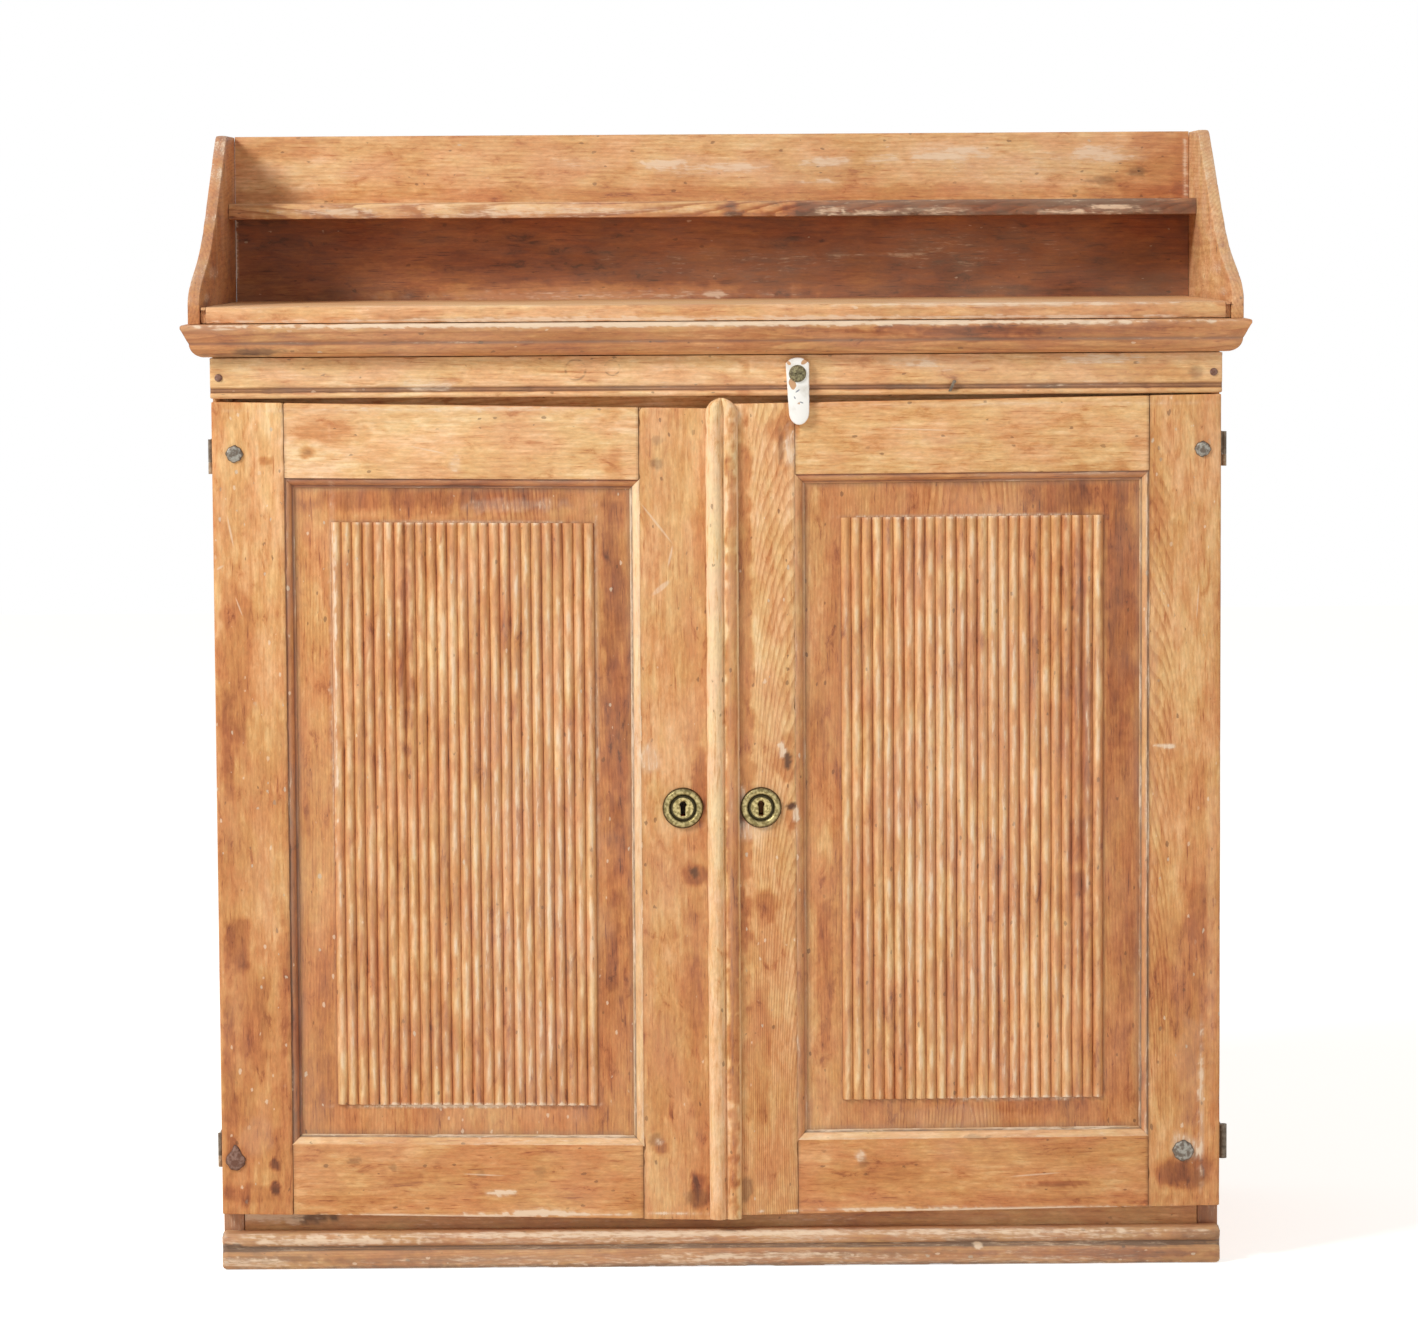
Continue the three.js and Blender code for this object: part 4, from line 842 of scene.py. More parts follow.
FRONT_PATCHES = [
    # left door: hinge stile and pegs
    ("stain", -504, 342, 15, 34, 0.4), ("stain", -511, 560, 10, 70, 0.25),
    ("stain", -488, 275, 20, 60, 0.2), ("stain", -492, 800, 18, 40, 0.12),
    ("white", -486, 140, 20, 24, 0.12), ("stain", -468, 112, 7, 7, 0.6), ("grime", -468, 112, 4, 4, 0.3),
    ("stain", -468, 88, 7, 8, 0.6), ("grime", -468, 84, 5, 5, 0.4), ("stain", -470, 851, 8, 6, 0.35),
    ("stain", -455, 300, 8, 90, 0.25), ("stain", -504, 640, 22, 90, 0.3), ("stain", -495, 80, 40, 12, 0.2),
    ("stain", -515, 200, 8, 120, 0.25), ("stain", -476, 180, 12, 60, -0.15),
    # left door: rails
    ("grime", -425, 860, 5, 3, 0.4), ("stain", -425, 860, 9, 7, 0.4), ("stain", -400, 880, 45, 13, 0.25),
    ("tone", -290, 868, 90, 26, 0.05), ("white", -271, 850, 7, 12, 0.3), ("grime", -384, 116, 9, 4, 0.45),
    ("stain", -330, 96, 30, 10, 0.25), ("white", -232, 81, 17, 4, 0.6), ("white", -190, 61, 34, 3, 0.5),
    ("stain", -400, 74, 60, 7, 0.15), ("grime", -345, 108, 5, 4, 0.4), ("grime", -252, 101, 5, 4, 0.35),
    ("grime", -190, 104, 7, 4, 0.3),
    # left door: lock stile
    ("grime", -63, 871, 7, 6, 0.3), ("grime", -63, 846, 7, 6, 0.5), ("white", -71, 541, 13, 17, 0.35),
    ("grime", -26, 419, 6, 7, 0.9), ("stain", -26, 419, 16, 16, 0.5), ("stain", -19, 515, 9, 50, 0.4),
    ("stain", -62, 128, 9, 9, 0.5), ("stain", -24, 250, 12, 180, 0.2), ("stain", -17, 760, 8, 60, 0.15),
    ("grime", -69, 136, 7, 7, 0.35), ("white", -65, 133, 5, 4, 0.4), ("stain", -19, 81, 13, 26, 0.4),
    ("grime", -24, 74, 15, 11, 0.5), ("stain", -60, 206, 12, 90, 0.12), ("stain", -30, 300, 12, 70, 0.15),
    ("white", -40, 470, 30, 12, 0.12),
    # right door: lock stile
    ("white", 76, 861, 7, 26, 0.45), ("stain", 70, 884, 16, 18, 0.3), ("grime", 72, 534, 5, 11, 1.0),
    ("white", 66, 546, 5, 9, 0.5), ("stain", 70, 536, 12, 26, 0.35), ("grime", 22, 478, 4, 15, 1.0),
    ("stain", 23, 482, 7, 24, 0.5), ("white", 34, 464, 24, 12, 0.35), ("grime", 75, 487, 8, 4, 1.0),
    ("white", 81, 478, 4, 9, 0.45), ("white", 25, 498, 3, 12, 0.4), ("stain", 76, 478, 6, 18, 0.3),
    ("stain", 49, 384, 15, 24, 0.4), ("stain", 40, 230, 16, 80, 0.22), ("stain", 27, 640, 11, 340, 0.42),
    ("grime", 25, 720, 8, 220, 0.1), ("grime", 27, 80, 8, 16, 0.5), ("figure", 28, 600, 15, 420, -0.5),
    ("grime", 66, 862, 3, 24, 0.5), ("stain", 72, 875, 12, 34, 0.15), ("figure", 462, 640, 15, 260, 0.35),
    ("figure", 460, 300, 12, 160, 0.3), ("stain", 494, 300, 22, 130, 0.22),
    ("stain", 490, 100, 30, 22, 0.4), ("grime", 503, 92, 9, 10, 0.35), ("white", 515, 500, 5, 400, 0.12),
    # doors: worn top and bottom edges
    ("white", -280, 904, 260, 3, 0.3), ("white", 290, 906, 240, 3, 0.3), ("white", -280, 57, 270, 2.6, 0.6),
    ("white", 280, 60, 260, 2.6, 0.6), ("stain", 280, 70, 260, 8, 0.12),
    # right door: rails and hinge stile
    ("white", 240, 868, 46, 6, 0.2), ("white", 148, 118, 8, 8, 0.5), ("grime", 150, 110, 7, 6, 0.4),
    ("grime", 268, 136, 16, 3, 0.45), ("stain", 180, 100, 50, 12, 0.15), ("white", 466, 548, 13, 3, 0.6),
    ("white", 454, 600, 5, 220, 0.14), ("white", 492, 200, 15, 70, 0.14), ("white", 486, 124, 20, 18, 0.42),
    ("stain", 500, 420, 14, 120, 0.15), ("white", 505, 165, 4, 85, 0.38), ("stain", 474, 96, 22, 16, 0.3),
    ("stain", 360, 86, 40, 4, 0.4), ("grime", 345, 84, 30, 2.5, 0.2),
    # left margins
    ("stain", -300, 808, 145, 17, 0.3), ("stain", -106, 640, 15, 280, 0.22),
    ("stain", -110, 720, 12, 100, 0.25), ("stain", -112, 350, 9, 70, 0.2),
    ("stain", -419, 600, 13, 260, -0.12), ("tone", -220, 806, 26, 14, 0.12),
    ("stain", -415, 230, 9, 130, 0.15),
    # right margins
    ("stain", 102, 480, 22, 430, -0.14), ("stain", 424, 480, 22, 400, 0.12),
    # the pale lines at z 786 and 789 along the top ends of the reeded fields are painted highlight, where the
    # reed ends face up to the light
    ("white", -265, 786, 130, 2.5, 0.3), ("white", 265, 789, 150, 2.5, 0.3),
    ("stain", -265, 796, 130, 8, -0.15), ("stain", 106, 560, 11, 70, 0.2),
    ("stain", 110, 310, 10, 100, 0.3), ("stain", 100, 740, 9, 110, -0.15),
    ("stain", 421, 690, 19, 150, 0.28), ("stain", 384, 810, 74, 19, 0.2), ("tone", 260, 806, 40, 14, 0.08),
    ("stain", 425, 330, 10, 120, 0.12), ("stain", 250, 168, 150, 10, 0.12),
    ("figure", 250, 158, 70, 14, 0.5), ("white", 250, 158, 70, 12, 0.12),
    ("figure", -215, 812, 62, 24, 0.55), ("white", -215, 803, 60, 8, 0.25),
    ("figure", 262, 814, 50, 20, 0.4),
    # reeded fields
    ("white", -205, 430, 85, 320, 0.1), ("stain", -326, 650, 9, 120, 0.35),
    ("stain", -290, 330, 14, 120, 0.15), ("white", 270, 480, 90, 320, 0.12),
    ("stain", 372, 560, 20, 260, 0.22), ("stain", 250, 300, 60, 60, 0.15),
    ("white", -266, 173, 145, 3, 0.5), ("white", 310, 177, 95, 3, 0.35), ("white", -127, 640, 3, 190, 0.25),
    ("white", -401, 640, 4, 210, 0.35), ("stain", 380, 600, 12, 260, 0.25),
    ("stain", 330, 700, 20, 90, 0.12),
    # frieze, cornice, recess and plinth; on the recessed rail, the dark spot at x -430, z 52 is painted shade
    # standing for a notch
    ("white", -300, 930, 32, 8, 0.25), ("white", 240, 948, 42, 8, 0.2), ("grime", 497, 938, 9, 7, 0.4),
    ("stain", 440, 940, 60, 12, 0.2), ("grime", -475, 965, 26, 4, 0.7), ("stain", 270, 980, 70, 9, 0.3),
    # the white line at z 991.5 along the cornice's top arris is a painted highlight
    ("stain", -470, 975, 60, 10, 0.2), ("white", 0, 991.5, 560, 3.0, 0.45), ("grime", -430, 52, 28, 8, 0.9),
    ("white", -400, 940, 120, 6, 0.12), ("white", 200, 950, 34, 7, 0.25), ("grime", -495, 961, 40, 3, 0.5),
    ("white", 398, 952, 45, 6, 0.3), ("white", 340, 935, 160, 12, 0.1), ("stain", 300, 983, 190, 5, 0.25),
    ("white", -480, 52, 60, 8, 0.35), ("white", -300, 46, 200, 6, 0.1), ("white", 150, 47, 200, 5, 0.12),
    ("white", 0, 30, 90, 5, 0.2), ("grime", 250, 26, 30, 5, 0.4),
]
# The mouldings carry painted light and shade. LEE_LIP, for the sides turned away from the upper-left light,
# is stained darker, and LIT_LIP, for the sides turned to it, is paler and whiter; the strong dark line at the
# foot of the lit-side mouldings is painted shade as well.
LEE_LIP = dict(profile=QUIRKED, stain=0.9, white=0.08, edge_white=0.45, groove_white=0.3,
               figure=0.1, seam=0.3, sunk=0.4)
FAINT_LIP = dict(profile=PLAIN, stain=0.66, white=0.1, edge_white=0.6, groove_white=0.4,
                 figure=0.1, seam=0.15, sunk=0.15)
LIT_LIP = dict(profile=PLAIN, stain=0.2, white=0.26, edge_white=0.4, figure=0.1, seam=1.0)
WORN_LIP = dict(profile=QUIRKED, stain=0.6, white=0.14, edge_white=0.6, figure=0.1, seam=1.0)

for number, (word, door) in enumerate(DOORS.items()):
    seed = 100 + 40 * number
    looks = {kind: dict(look, patches=FRONT_PATCHES) for kind, look in FRAME_FINISH[word].items()}
    stile(word, "hinge_stile", 0, HINGE_STILE, 0, seed + 1, **looks["hinge_stile"])
    hole = (door["key"], 0.3)
    stile(word, "lock_stile", LOCK_JOINT, DOOR_WIDTH, DOOR_WIDTH, seed + 2, hole, **looks["lock_stile"])
    low, top = door["bottom"], door["bottom"] + DOOR_HEIGHT
    rail(word, "top_rail", top - TOP_RAIL, top, seed + 3, **looks["top_rail"])
    rail(word, "bottom_rail", low, low + BOTTOM_RAIL, seed + 4, **looks["bottom_rail"])
    # on the left door's stiles and on all rails, mouldings turned from the light get the darker lip of
    # painted shade, and those turned to it the paler lip of painted light
    sides = [LEE_LIP, LIT_LIP] if word == "left" else [WORN_LIP, FAINT_LIP]
    lips = {"hinge_stile": (HINGE_STILE, 1, sides[0]), "lock_stile": (LOCK_JOINT, -1, sides[1]),
            "top_rail": (top - TOP_RAIL, -1, LEE_LIP), "bottom_rail": (low + BOTTOM_RAIL, 1, LIT_LIP)}
    for i, (kind, (joint, way, lip)) in enumerate(lips.items()):
        moulding(word, kind, joint, way, seed + 5 + i, patches=FRONT_PATCHES, **lip)
print("door frames done")

# %% [markdown]
# ## Reeded panels
# The panel is one board whose middle was left thick and run with round reeds by a hand plane, so
# the reeds wander a little and some are flatter than others. An array of half round bars would look
# like a machine's work. Here the reeds are one skin, and noise moves the grooves.

# %% Panels
REED_PITCH = 10.95
REED_DEPTH = 3.3
REED_ROUND = 1.8
FIELD_RAISE = 4.0
FIELD_SIDE, FIELD_TOP, FIELD_BOTTOM = 46.0, 45.5, 41.0
PANEL_PLAY = 2.5


def panel_opening(word):
    """The inner edges of a door's frame before it sags: x0, x1, z0, z1."""
    door = DOORS[word]
    x0, x1 = sorted([door_x(door, HINGE_STILE), door_x(door, LOCK_JOINT)])
    return x0, x1, door["bottom"] + BOTTOM_RAIL, door["bottom"] + DOOR_HEIGHT - TOP_RAIL


def reed_count(x0, x1):
    """How many whole reeds fit between the margins."""
    return math.floor((x1 - x0 - 2 * FIELD_SIDE) / REED_PITCH)


def margin_distances(points, door, x0, x1, z0, z1):
    """How far points on the margin lie from the reeded field's rim and from the moulding's foot."""
    z = points[:, 2] + door["inner"] * (DOOR_EDGE - door["side"] * points[:, 0]) / DOOR_WIDTH
    off_x = np.abs(points[:, 0] - (x0 + x1) / 2) - reed_count(x0, x1) * REED_PITCH / 2
    off_z = np.maximum(z0 + FIELD_BOTTOM - z, z - (z1 - FIELD_TOP))
    across = np.minimum(points[:, 0] - x0, x1 - points[:, 0])
    to_frame_edge = np.minimum(across, np.minimum(z - z0, z1 - z))
    return np.abs(np.maximum(off_x, off_z)), np.maximum(to_frame_edge - MOULDING, 0)


def panel(word, seed, **finish):
    """The board that fills a door's frame, seen as the flat margin round the reeds."""
    door = DOORS[word]
    x0, x1, z0, z1 = panel_opening(word)
    left, right = x0 + PANEL_PLAY, x1 - PANEL_PLAY
    section = outline([(left, PANEL_FRONT, 0, 2.8), (right, PANEL_FRONT, 0, 4),
                       (right, PANEL_BACK, 0, 9), (left, PANEL_BACK, 0, 4)])
    shell = sag(sweep(section, "z", z0 + PANEL_PLAY, z1 - PANEL_PLAY, 3.0, 0.5), door)
    shell.arris[:] = 0
    shell = wear(shell, seed, wavy=0.25)
    field, rim = margin_distances(shell.points, door, x0, x1, z0, z1)
    # the margin's hollows, along the field's rim and the moulding's foot, take dirt and painted shade where
    # the steps throw shadow
    shell.hollow = np.maximum(np.exp(-((field / 1.8) ** 2)) * 0.8, np.exp(-((rim / 3.5) ** 2)))
    node = f"{word}_door_panel"
    return door_piece(word, node, [shell], "xyz", seed, f"{node}_board", **finish)


def reeds(word, seed, **finish):
    """The reeded field: one skin of round reeds, with wandering grooves and nicked, flattened crests."""
    door = DOORS[word]
    x0, x1, z0, z1 = panel_opening(word)
    count = reed_count(x0, x1)
    start = (x0 + x1) / 2 - count * REED_PITCH / 2
    end = start + count * REED_PITCH
    crest = PANEL_FRONT - FIELD_RAISE
    corners = [(start, PANEL_FRONT, 0, 5)]
    shares = np.linspace(-1, 1, 11)
    for i in range(count):
        middle = start + (i + 0.5) * REED_PITCH
        bow = [(middle + t * REED_PITCH / 2, crest + REED_DEPTH * abs(t) ** REED_ROUND) for t in shares]
        corners += [(a, b, 0, 5) for a, b in (bow if i == 0 else bow[1:])]
    corners.append((end, PANEL_FRONT, 0, 6))
    shell = sweep(outline(corners), "z", z0 + FIELD_BOTTOM, z1 - FIELD_TOP, 3.2, 0.5)
    points = shell.points
    lift = np.clip((crest + REED_DEPTH - points[:, 1]) / REED_DEPTH, 0, 1)
    inner = np.clip(np.minimum(points[:, 0] - start - 2, end - 2 - points[:, 0]) / 6, 0, 1)
    slow, quick = noise(points, (REED_PITCH, 50, 90), seed + 1), noise(points, (8, 50, 25), seed + 2)
    points[:, 0] += inner * (0.55 * slow + 0.25 * quick)
    on_crest = smoothstep(0.6, 0.98, lift)
    nicks = np.clip(layered(points, (5, 50, 14), seed + 3) - 0.35, 0, 1)
    flat = 0.5 + 0.5 * noise(points, (14, 50, 160), seed + 4)
    points[:, 1] += lift * 0.35 * flat + on_crest * (1.5 * nicks)
    # the grooves count as hollows, which take stain, dirt and painted shade, and the crests as arrises, which
    # take paint crumbs and a painted highlight
    shell.hollow = (1 - smoothstep(0.0, 0.42, lift)) * 0.7
    shell.arris = on_crest * 1.2
    sag(shell, door)
    return door_piece(word, f"{word}_door_panel", [shell], "xyz", seed, f"{word}_door_reeds", 50, **finish)


MARGIN = dict(white=0.05, stain=0.7, figure=0.2, ring=3.2, edge_white=0.3, seam=0.3, blotch=0.18, fall=0.0,
              patches=FRONT_PATCHES)
# the reeds' grooves are darkened and their crests whitened in the colour: stain, dirt and paint crumbs, and
# also painted shade in the grooves and a painted highlight on the crests
REEDS = dict(stain=0.52, figure=0.12, ring=3.6, edge_white=0.5, groove_white=0.0, rubbed=0.3, white=0.05,
             fall=0.0, wear_mm=(6, 60, 20), sunk=0.68, seam=0.15, blotch=0.28,
             lump=(8, 60, 110), patches=FRONT_PATCHES)
panel("left", 201, pith=(8, 30), lean=(0.0, 0.06), **MARGIN)
panel("right", 202, pith=(-6, 30), lean=(0.0, 0.06), **MARGIN)
reeds("left", 203, pith=(30, 60), lean=(0.0, 0.03), **REEDS)
reeds("right", 204, pith=(-20, 60), lean=(0.0, 0.03), **REEDS)
print("panels done")

# %% [markdown]
# ## The astragal
# A long strip nailed to the right door's meeting edge, lapping over the left door. A round bead
# runs up its left side, a flatter part beside it, and its top is rounded off like a finger.

# %% Astragal
ASTRAGAL_LEFT, ASTRAGAL_RIGHT = -12.5, 21.5
BEAD_WIDTH, BEAD_RISE, FLAT_RISE = 19.0, 9.8, 7.2
low, high = limits("astragal")
base = high[1]
bead = curve((ASTRAGAL_LEFT + BEAD_WIDTH / 2, base), (BEAD_WIDTH / 2, BEAD_RISE), -180, -22, 15)
flat = curve((ASTRAGAL_LEFT + BEAD_WIDTH + 6.5, base), (9.0, FLAT_RISE), -160, 0, 11)
section = outline(bead + flat, 3)
shell = sweep(section, "z", low[2], high[2], 2.6, 0.8)
middle, half = (ASTRAGAL_LEFT + ASTRAGAL_RIGHT) / 2, (ASTRAGAL_RIGHT - ASTRAGAL_LEFT) / 2
rise = np.clip((shell.points[:, 2] - (high[2] - half)) / half, 0, 0.985)
narrow = np.sqrt(1 - rise**2)
shell.points[:, 0] = middle + (shell.points[:, 0] - middle) * narrow
shell.points[:, 1] = base + (shell.points[:, 1] - base) * np.clip(narrow * 1.3, 0, 1)
on_left = np.clip(shell.outward[:, 0] * -2, 0, 1)
shell.points[:, 0] += 0.7 * noise(shell.points, (40, 40, 26), 305) * on_left + 0.3
wear(shell, 301, chips=1.2)
piece = build("astragal_strip", [shell])
# the right, flatter half is stained dark along its whole length: partly its own stain, partly painted shade
# on the half turned away from the light
ASTRAGAL_PATCHES = [
    ("stain", 15, 480, 9, 480, 0.66), ("white", 15, 480, 9, 480, 0.1), ("white", -6, 480, 5, 460, 0.12),
    ("white", 12, 500, 2, 400, 0.15),
]
paint(piece, "xyz", 301, stain=0.07, figure=0.1, pith=(90, 90), edge_white=0.3, fall=0.08,
      patches=ASTRAGAL_PATCHES)
mount(piece, STRIPPED_PINE, "right_door", ["astragal"])

# %% [markdown]
# ## Frieze, cornice and plinth
# Mouldings are run with hollow and round planes, so a swept section is just what they are. The
# cornice is mitred round the front corners, and its lower edge is an ovolo under a slope.

# %% Frieze and bottom rail
low, high = limits("frieze_board")
BEAD = 3.5
section = outline([(high[1], low[2], 0.5, 8), (high[1], high[2], 0.5, 8), (DOOR_FRONT, high[2], 0.5, 2.6),
                   (DOOR_FRONT, low[2] + 12.2, 1.5, 1.5), (DOOR_FRONT + 2.4, low[2] + 9.6, 1.2, 1.5),
                   (DOOR_FRONT + 2.2, low[2] + 7.4, 0.4, 1.5)]
                  + curve((DOOR_FRONT + BEAD, low[2] + BEAD), (BEAD, BEAD), 100, 270, 8))
# the frieze's quirk and bead hollows are darkened in the colour: dirt together with painted shade
board("frieze", [sweep(section, "x", low[0], high[0], 3.0, 1.2)], "carcass", ["frieze_board"], "zyx", 401,
      stain=0.28, figure=0.2, white=0.11, pith=(90, 110), edge_white=0.25, fall=0.0, sunk=0.5, seam=0.7,
      patches=FRONT_PATCHES)
low, high = limits("bottom_rail")
section = box_section(low[1], high[1], low[2], high[2], 0.8, 4)
board("lower_rail", [sweep(section, "x", low[0], high[0], 4.0)], "carcass", ["bottom_rail"], "zyx", 402,
      stain=0.55, figure=0.2, grime=0.06, white=0.16, fall=0.0, patches=FRONT_PATCHES, slot="pine_stained")

# %% Cornice
low, high = limits("cornice_front")
SOFFIT, CORNICE_TOP = low[2], high[2]
MITRE_GAP, RETURN_GAP = 0.2, 0.3


def cornice_profile():
    """The cornice as (overhang, height), from its top edge round the front to its lower edge."""
    points = [(26.4, 34.5), (28.0, 33.0), (28.0, 29.8), (26.9, 28.0), (24.2, 23.6),
              (21.8, 18.6), (20.2, 15.8)]
    points += curve((3.6, 14.6), (15.8, 14.4), 0, -90, 10)
    return points


section = outline([(-0.3, SOFFIT, 0, 8), (-0.3, CORNICE_TOP, 0, 5)]
                  + [(DOOR_FRONT - out, SOFFIT + up, 0, 2.4) for out, up in cornice_profile()]
                  + [(DOOR_FRONT, SOFFIT, 0, 8)])


def mitre(points):
    """The x where the front cornice ends, farther out the more it overhangs."""
    return CASE_HALF + np.maximum(DOOR_FRONT - points[:, 0], 0) - MITRE_GAP


CORNICE = dict(stain=0.64, figure=0.5, ring=2.4, white=0.12, edge_white=0.4, pith=(40, 80),
               fall=0.0, sunk=0.4)
board("cornice", [sweep(section, "x", lambda p: -mitre(p), mitre, 2.8, 0)], "carcass", ["cornice_front"],
      "zyx", 411, patches=FRONT_PATCHES, **CORNICE)


def cornice_return(word, side):
    """The cornice along one side of the case."""
    inner = side * (CASE_HALF + RETURN_GAP)
    shape = [(inner + side * max(out - RETURN_GAP, 0), SOFFIT + up, 0, 2.6) for out, up in cornice_profile()]
    section = outline([(inner, SOFFIT, 0, 8), (inner, CORNICE_TOP, 0, 5)] + shape)

    def front(points):
        """The mitred end at the front corner."""
        return DOOR_FRONT - (side * points[:, 0] - CASE_HALF) + MITRE_GAP

    shell = sweep(section, "y", front, limits("cornice_return_left")[1][1], 4.0, 0)
    board(f"cornice_{word}", [shell], "carcass", [f"cornice_return_{word}"], "zxy", 415 + side,
          face=("y", "z"), **CORNICE)


cornice_return("left", -1)
cornice_return("right", 1)

# %% Plinth
PLINTH_PATCHES = [
    ("grime", -495, 22, 40, 4, 0.6), ("grime", 0, 2, 540, 3, 0.5), ("grime", -470, 12, 60, 5, 0.35),
    ("white", 0, 36, 540, 3, 0.2), ("grime", 260, 25, 30, 5, 0.5), ("grime", -300, 10, 120, 4, 0.25),
    ("grime", 120, 14, 160, 4, 0.25), ("stain", -120, 30, 150, 6, 0.25), ("white", -400, 30, 90, 5, 0.25),
    ("white", 60, 12, 120, 4, 0.2), ("white", -180, 9, 200, 6, 0.1), ("white", 200, 6, 300, 5, 0.1),
    ("grime", -512, 25, 14, 4, 0.9), ("white", -490, 8, 60, 6, 0.25), ("grime", 450, 22, 60, 4, 0.5),
    ("grime", 270, 22, 7, 5, 0.7), ("white", 270, 21, 5, 4, 0.4), ("tone", 0, 32, 540, 5, 0.06),
    ("stain", 0, 10, 560, 10, 0.2), ("white", 0, 31, 560, 6, 0.12), ("stain", 400, 12, 130, 6, 0.25),
    ("grime", 500, 30, 30, 8, 0.3),
]
low, high = limits("plinth")
PLINTH = [(high[1], 0.0, 0, 8), (high[1], high[2], 0, 5)]
PLINTH += [(a, b, 0, 2.2) for a, b in curve((low[1] + 4, 31.8), (4.0, 7.2), 100, 262, 9)]
PLINTH += [(low[1] + 4.4, 23.6, 0, 2), (low[1] + 4.4, 20.8, 0, 2)]
PLINTH += [(a, b, 0, 2.2) for a, b in curve((low[1] + 4, 10.2), (4.0, 10.2), 100, 262, 10)]
shell = sweep(outline(PLINTH), "x", low[0], high[0], 3.0, 4.0)
board("plinth_moulding", [shell], "carcass", ["plinth"], "zyx", 421, stain=0.52, figure=0.3, ring=2.4,
      grime=0.26, white=0.22, edge_white=0.3, fall=0.0, seam=0.9, lump=(12, 12, 110), patches=PLINTH_PATCHES)
print("mouldings done")

# %% [markdown]
# ## The gallery
# The sides are thin boards with a shaped top edge: a low round shoulder in front, then one long
# sweep up to the back. A loft whose height follows that curve keeps vertices all over the board,
# where a flat cut-out would have none to carry the grain.

# %% Gallery sides
GALLERY_BASE = limits("gallery_floor")[0][2]
GALLERY_TOP = limits("gallery_back")[1][2]
CASE_BACK = limits("gallery_back")[1][1]
GALLERY_FRONT = limits("gallery_floor")[0][1]
GALLERY_INNER, GALLERY_OUTER = 534.0, 547.0


def bezier(p0, p1, p2, p3, count):
    """Points of a cubic curve with its two end points and two pulling points."""
    t = np.linspace(0, 1, count)[:, None]
    ends = [np.array(p, float) for p in (p0, p1, p2, p3)]
    leaving = (1 - t) ** 3 * ends[0] + 3 * t * (1 - t) ** 2 * ends[1]
    return leaving + 3 * t**2 * (1 - t) * ends[2] + t**3 * ends[3]


def gallery_edge():
    """The side's top edge as (y, z), from its front to its back."""
    shoulder = bezier((GALLERY_FRONT, 1016), (GALLERY_FRONT, 1034), (32, 1042), (92, 1062), 26)
    rise = bezier((92, 1062), (162, 1087), (237, 1143), (302, 1183), 46)
    crown = bezier((302, 1183), (311, 1189), (318, GALLERY_TOP), (331, GALLERY_TOP), 10)
    level = np.stack([np.linspace(331, CASE_BACK, 26), np.full(26, GALLERY_TOP)], axis=1)
    return np.concatenate([[(GALLERY_FRONT, 1014)], shoulder[1:], rise[1:], crown[1:], level[1:]])


def gallery_side_shell(side):
    """Rings along the board, each a section whose height follows the top edge."""
    x0, x1 = sorted([side * GALLERY_INNER, side * GALLERY_OUTER])
    middle = (x0 + x1) / 2
    rounding, rows = 1.6, 44
    shares = np.linspace(0, 1, rows)
    edge = gallery_edge()
    sides_out, crown_out = [(-1, 0)] * rows, [(-0.5, 0.8), (0, 1), (0, 1), (0, 1), (0.5, 0.8)]
    out = np.array(sides_out + crown_out + [(1, 0)] * rows + [(0, -0.2)], float)
    rings, spread, arris = [], [], []
    for i, (y, top) in enumerate(edge):
        end = min(i, len(edge) - 1 - i)
        inset = {0: 1.4, 1: 0.5}.get(end, 0.0)
        up = GALLERY_BASE + (top - rounding - GALLERY_BASE) * shares
        left, right = x0 + inset, x1 - inset
        crown = [(left + 0.5, top - 0.5), (x0 + 2.2, top), (middle, top), (x1 - 2.2, top)]
        crown.append((right - 0.5, top - 0.5))
        ring = [(left, z) for z in up] + crown + [(right, z) for z in up[::-1]] + [(middle, GALLERY_BASE)]
        ring = np.array(ring)
        rings.append(np.stack([ring[:, 0], np.full(len(ring), y), ring[:, 1]], axis=1))
        spread.append(np.stack([out[:, 0], 0 * out[:, 0], out[:, 1]], axis=1))
        away = np.minimum(top - ring[:, 1], 30)
        arris.append(np.exp(-((away / ARRIS_REACH) ** 2)) * (0.4 + 0.6 * (np.abs(ring[:, 0] - middle) > 3)))
    arris = np.array(arris)
    return Shell(np.array(rings), np.array(spread), arris, np.zeros(arris.shape))


GALLERY_SIDE_PATCHES = [
    ("white", 250, 1120, 26, 60, 0.14), ("white", 130, 1045, 60, 8, 0.25), ("white", 60, 1020, 40, 6, 0.25),
    ("white", 300, 1165, 20, 30, 0.18), ("grime", 200, 1106, 4, 4, 0.9), ("grime", 120, 1064, 4, 4, 0.9),
    ("grime", 285, 1160, 5, 4, 0.9), ("grime", 330, 1080, 40, 60, 0.15), ("white", 400, 1120, 20, 60, 0.15),
    ("white", 180, 1075, 4, 40, 0.25), ("stain", 60, 1014, 50, 6, 0.3),
]
for side, word in ((-1, "left"), (1, "right")):
    node = f"gallery_side_{word}"
    # the left side is stained darker and dirtier than the right: partly its own colour, partly painted shade,
    # since its inner face, the one in view, turns away from the light
    board(f"gallery_{word}", [gallery_side_shell(side)], "carcass", [node], "zxy", 431 + side,
          stain=0.6 - side * 0.18, figure=0.3, ring=3.6, white=0.12, pith=(-60, side * 70), fall=0.0,
          edge_white=0.4, grime=0.05 - side * 0.02, face=("y", "z"), outer=False,
          patches=GALLERY_SIDE_PATCHES)

